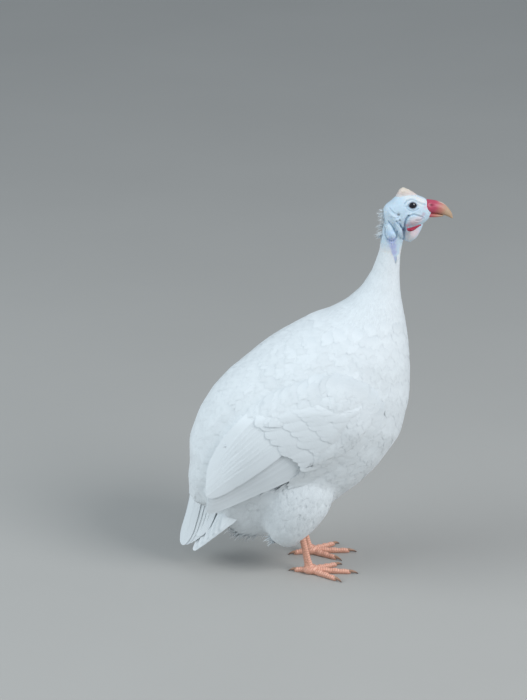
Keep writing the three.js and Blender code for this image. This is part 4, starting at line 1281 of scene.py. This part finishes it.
# Legs
# The bare shanks and toes are bone and tendon in a tight sheath of horny plates: two rows of large ones that
# interlock down the front, a row over each toe, and small beads elsewhere. Pads swell under the toes' joints.
LEG_GRAIN = 0.00046
FOOT = (-4, 27, 4.6)
FOOT_REACH = (9, 7.5, 6)
SHANK = ((-19.5, 70), (-5.8, 7))
SHANK_PLATED = 63
SHANK_ROUND = (3.5, 2.7)
TOES = {"inner": (-32, 33, 9), "middle": (3, 43, 10), "outer": (38, 34, 9), "hind": (192, 17, 8)}
CLAW_ROWS = ((-0.16, 2.9, 1.9, 1.6), (0.2, 3.2, 1.8, 1.45), (0.65, 2.35, 1.15, 0.9), (1, 0.55, 0.5, 0.4))
PLATE = 2.7
GAP = 0.16
LEG_COLOUR = (0.84, 0.43, 0.31)
PLATE_COLOUR = (0.90, 0.50, 0.37)
GAP_COLOUR = (0.58, 0.22, 0.15)
SOLE_COLOUR = (0.76, 0.44, 0.32)
CLAW_ROOT = (0.42, 0.24, 0.16)
CLAW_TIP = (0.16, 0.10, 0.075)


def foot_spot(side, height=0):
    """The middle of a foot at that height, in mm."""
    return np.array((FOOT[0], -side * FOOT[1], height))


def leg_way(turn, side):
    """Unit direction of a toe, level with the floor."""
    angle = math.radians(turn)
    return np.array([math.cos(angle), -side * math.sin(angle), 0])


def shank_rows(side):
    rows = []
    for share in np.linspace(0, 1, 9):
        swell = 1 + 0.45 * share**6 + 0.5 * (1 - share) ** 6
        x, z = mixed_spot(*SHANK, share)
        deep, wide = (half * swell for half in SHANK_ROUND)
        rows.append((x, -side * FOOT[1], z, deep, deep, wide))
    return rows


def toe_rows(turn, length, side):
    rows = []
    way = leg_way(turn, side)
    for k in range(9):
        f = k / 8
        pad = 0.55 * (1 - 0.4 * f) * (k % 2)
        high = mixed(4, 2.5, f) + pad
        x, y, _ = foot_spot(side) + way * length * f
        rows.append((x, y, high * 0.86, high, high, mixed(3.3, 2.2, f) + pad))
    x, y, _ = foot_spot(side) + way * (length + 1.5)
    rows.append((x, y, 2.6, 1.7, 1.7, 1.5))
    return rows


def ball_rows(side):
    rows = []
    for t in np.linspace(-1, 1, 11):
        wide = max(math.sqrt(1 - t * t), 0.08)
        up, half = FOOT_REACH[2] * wide, FOOT_REACH[1] * wide
        rows.append((FOOT[0] + t * FOOT_REACH[0], -side * FOOT[1], FOOT[2], up, up, half))
    return rows


def plated(local, out, way, top, long, rows_across):
    """How the plates along one limb raise its surface, and where their gaps and the plates lie."""
    along = local @ way
    facing = out @ top
    sideways = out @ np.cross(way, top)
    count = along / PLATE + 0.5 * (sideways > 0) * (rows_across - 1)
    saw = count % 1
    on = smoothstep(facing, 0.05, 0.45)
    gap = np.exp(-(((saw - 0.5) / 0.5 - 1) ** 2) / 0.02) + bell(saw, GAP)
    if rows_across > 1:
        gap = np.maximum(gap, bell(sideways, GAP))
    gap = np.clip(gap, 0, 1)
    lift = 0.26 * saw - 0.24 * gap
    return lift * on, gap * on, on * (along > -2) * (along < long)


def leg_skin(side, label):
    hock, ankle = (np.array((x, -side * FOOT[1], z)) for x, z in SHANK)
    down = (ankle - hock) / np.linalg.norm(ankle - hock)
    parts = [(shank_rows(side), 40, 24, LEVEL_ACROSS), (ball_rows(side), 24, 24, LEVEL_ACROSS)]
    limbs = [(hock, down, np.array((-down[2], 0, down[0])), SHANK_PLATED, 2)]
    for turn, length, _ in TOES.values():
        way = leg_way(turn, side)
        parts.append((toe_rows(turn, length, side), 40, 20, (-way[1], way[0], 0)))
        limbs.append((foot_spot(side, 3), way, np.array((0, 0, 1)), length, 1))
    mesh = fused(tubes_mesh(*parts), LEG_GRAIN, 3, f"leg_{label}")
    shifted = np.array((SOLID_SHIFT / MM, 0, 0))
    points, out = points_of(mesh) / MM - shifted, normals_of(mesh)
    away, plates = [], []
    for start, way, top, long, rows_across in limbs:
        local = points - start
        share = np.clip(local @ way, 0, long)
        away.append(np.linalg.norm(local - share[:, None] * way, axis=1))
        plates.append(plated(local, out, way, top, long, rows_across))
    nearest = np.argmin(away, axis=0)
    lift, gap, on = np.array(plates)[nearest, :, np.arange(len(points))].T
    beads = np.array([noise.voronoi(Vector(p) * 1.1)[0][0] for p in points])
    lift = lift * on + (1 - on) * (0.10 - 0.30 * beads)
    points = points + out * lift[:, None]
    points[:, 2] = np.maximum(points[:, 2], 0.02)
    placed(mesh, points + shifted)
    base = towards(towards(LEG_COLOUR, PLATE_COLOUR, on), GAP_COLOUR, gap)
    base = towards(base, SOLE_COLOUR, smoothstep(-out[:, 2], 0.3, 0.8) * (points[:, 2] < 5))
    base *= (1 - 0.35 * smoothstep(beads, 0.35, 0.7) * (1 - on))[:, None]
    coloured(mesh, base, leg_paint)
    toes = [f"toe_{toe}_{label}" for toe in TOES]
    tied(linked(f"leg_{label}", mesh), "scales", f"shank_{label}", f"foot_{label}", *toes)


def claw_shape(points, out):
    points[:, 2] = np.maximum(points[:, 2], 0.05)
    return points, towards(CLAW_TIP, CLAW_ROOT, smoothstep(points[:, 2], 0.6, 4.4))


leg_paint = flesh_paint("leg_scales", 0.42, 1500.0, 0.25, 0.05)
claw_horn = flesh_paint("claw_horn", 0.35, 700.0, 0.15, 0.02)
for side, label in SIDES:
    leg_skin(side, label)
    for toe, (turn, length, reach) in TOES.items():
        way = leg_way(turn, side)
        rows = []
        for share, z, high, wide in CLAW_ROWS:
            x, y, _ = foot_spot(side) + way * (length + share * reach)
            rows.append((x, y, z, high, high, wide))
        horn_piece(f"nail_{toe}_{label}", rows, 24, 18, claw_shape, "claws", claw_horn,
                   f"claw_{toe}_{label}", (-way[1], way[0], 0))
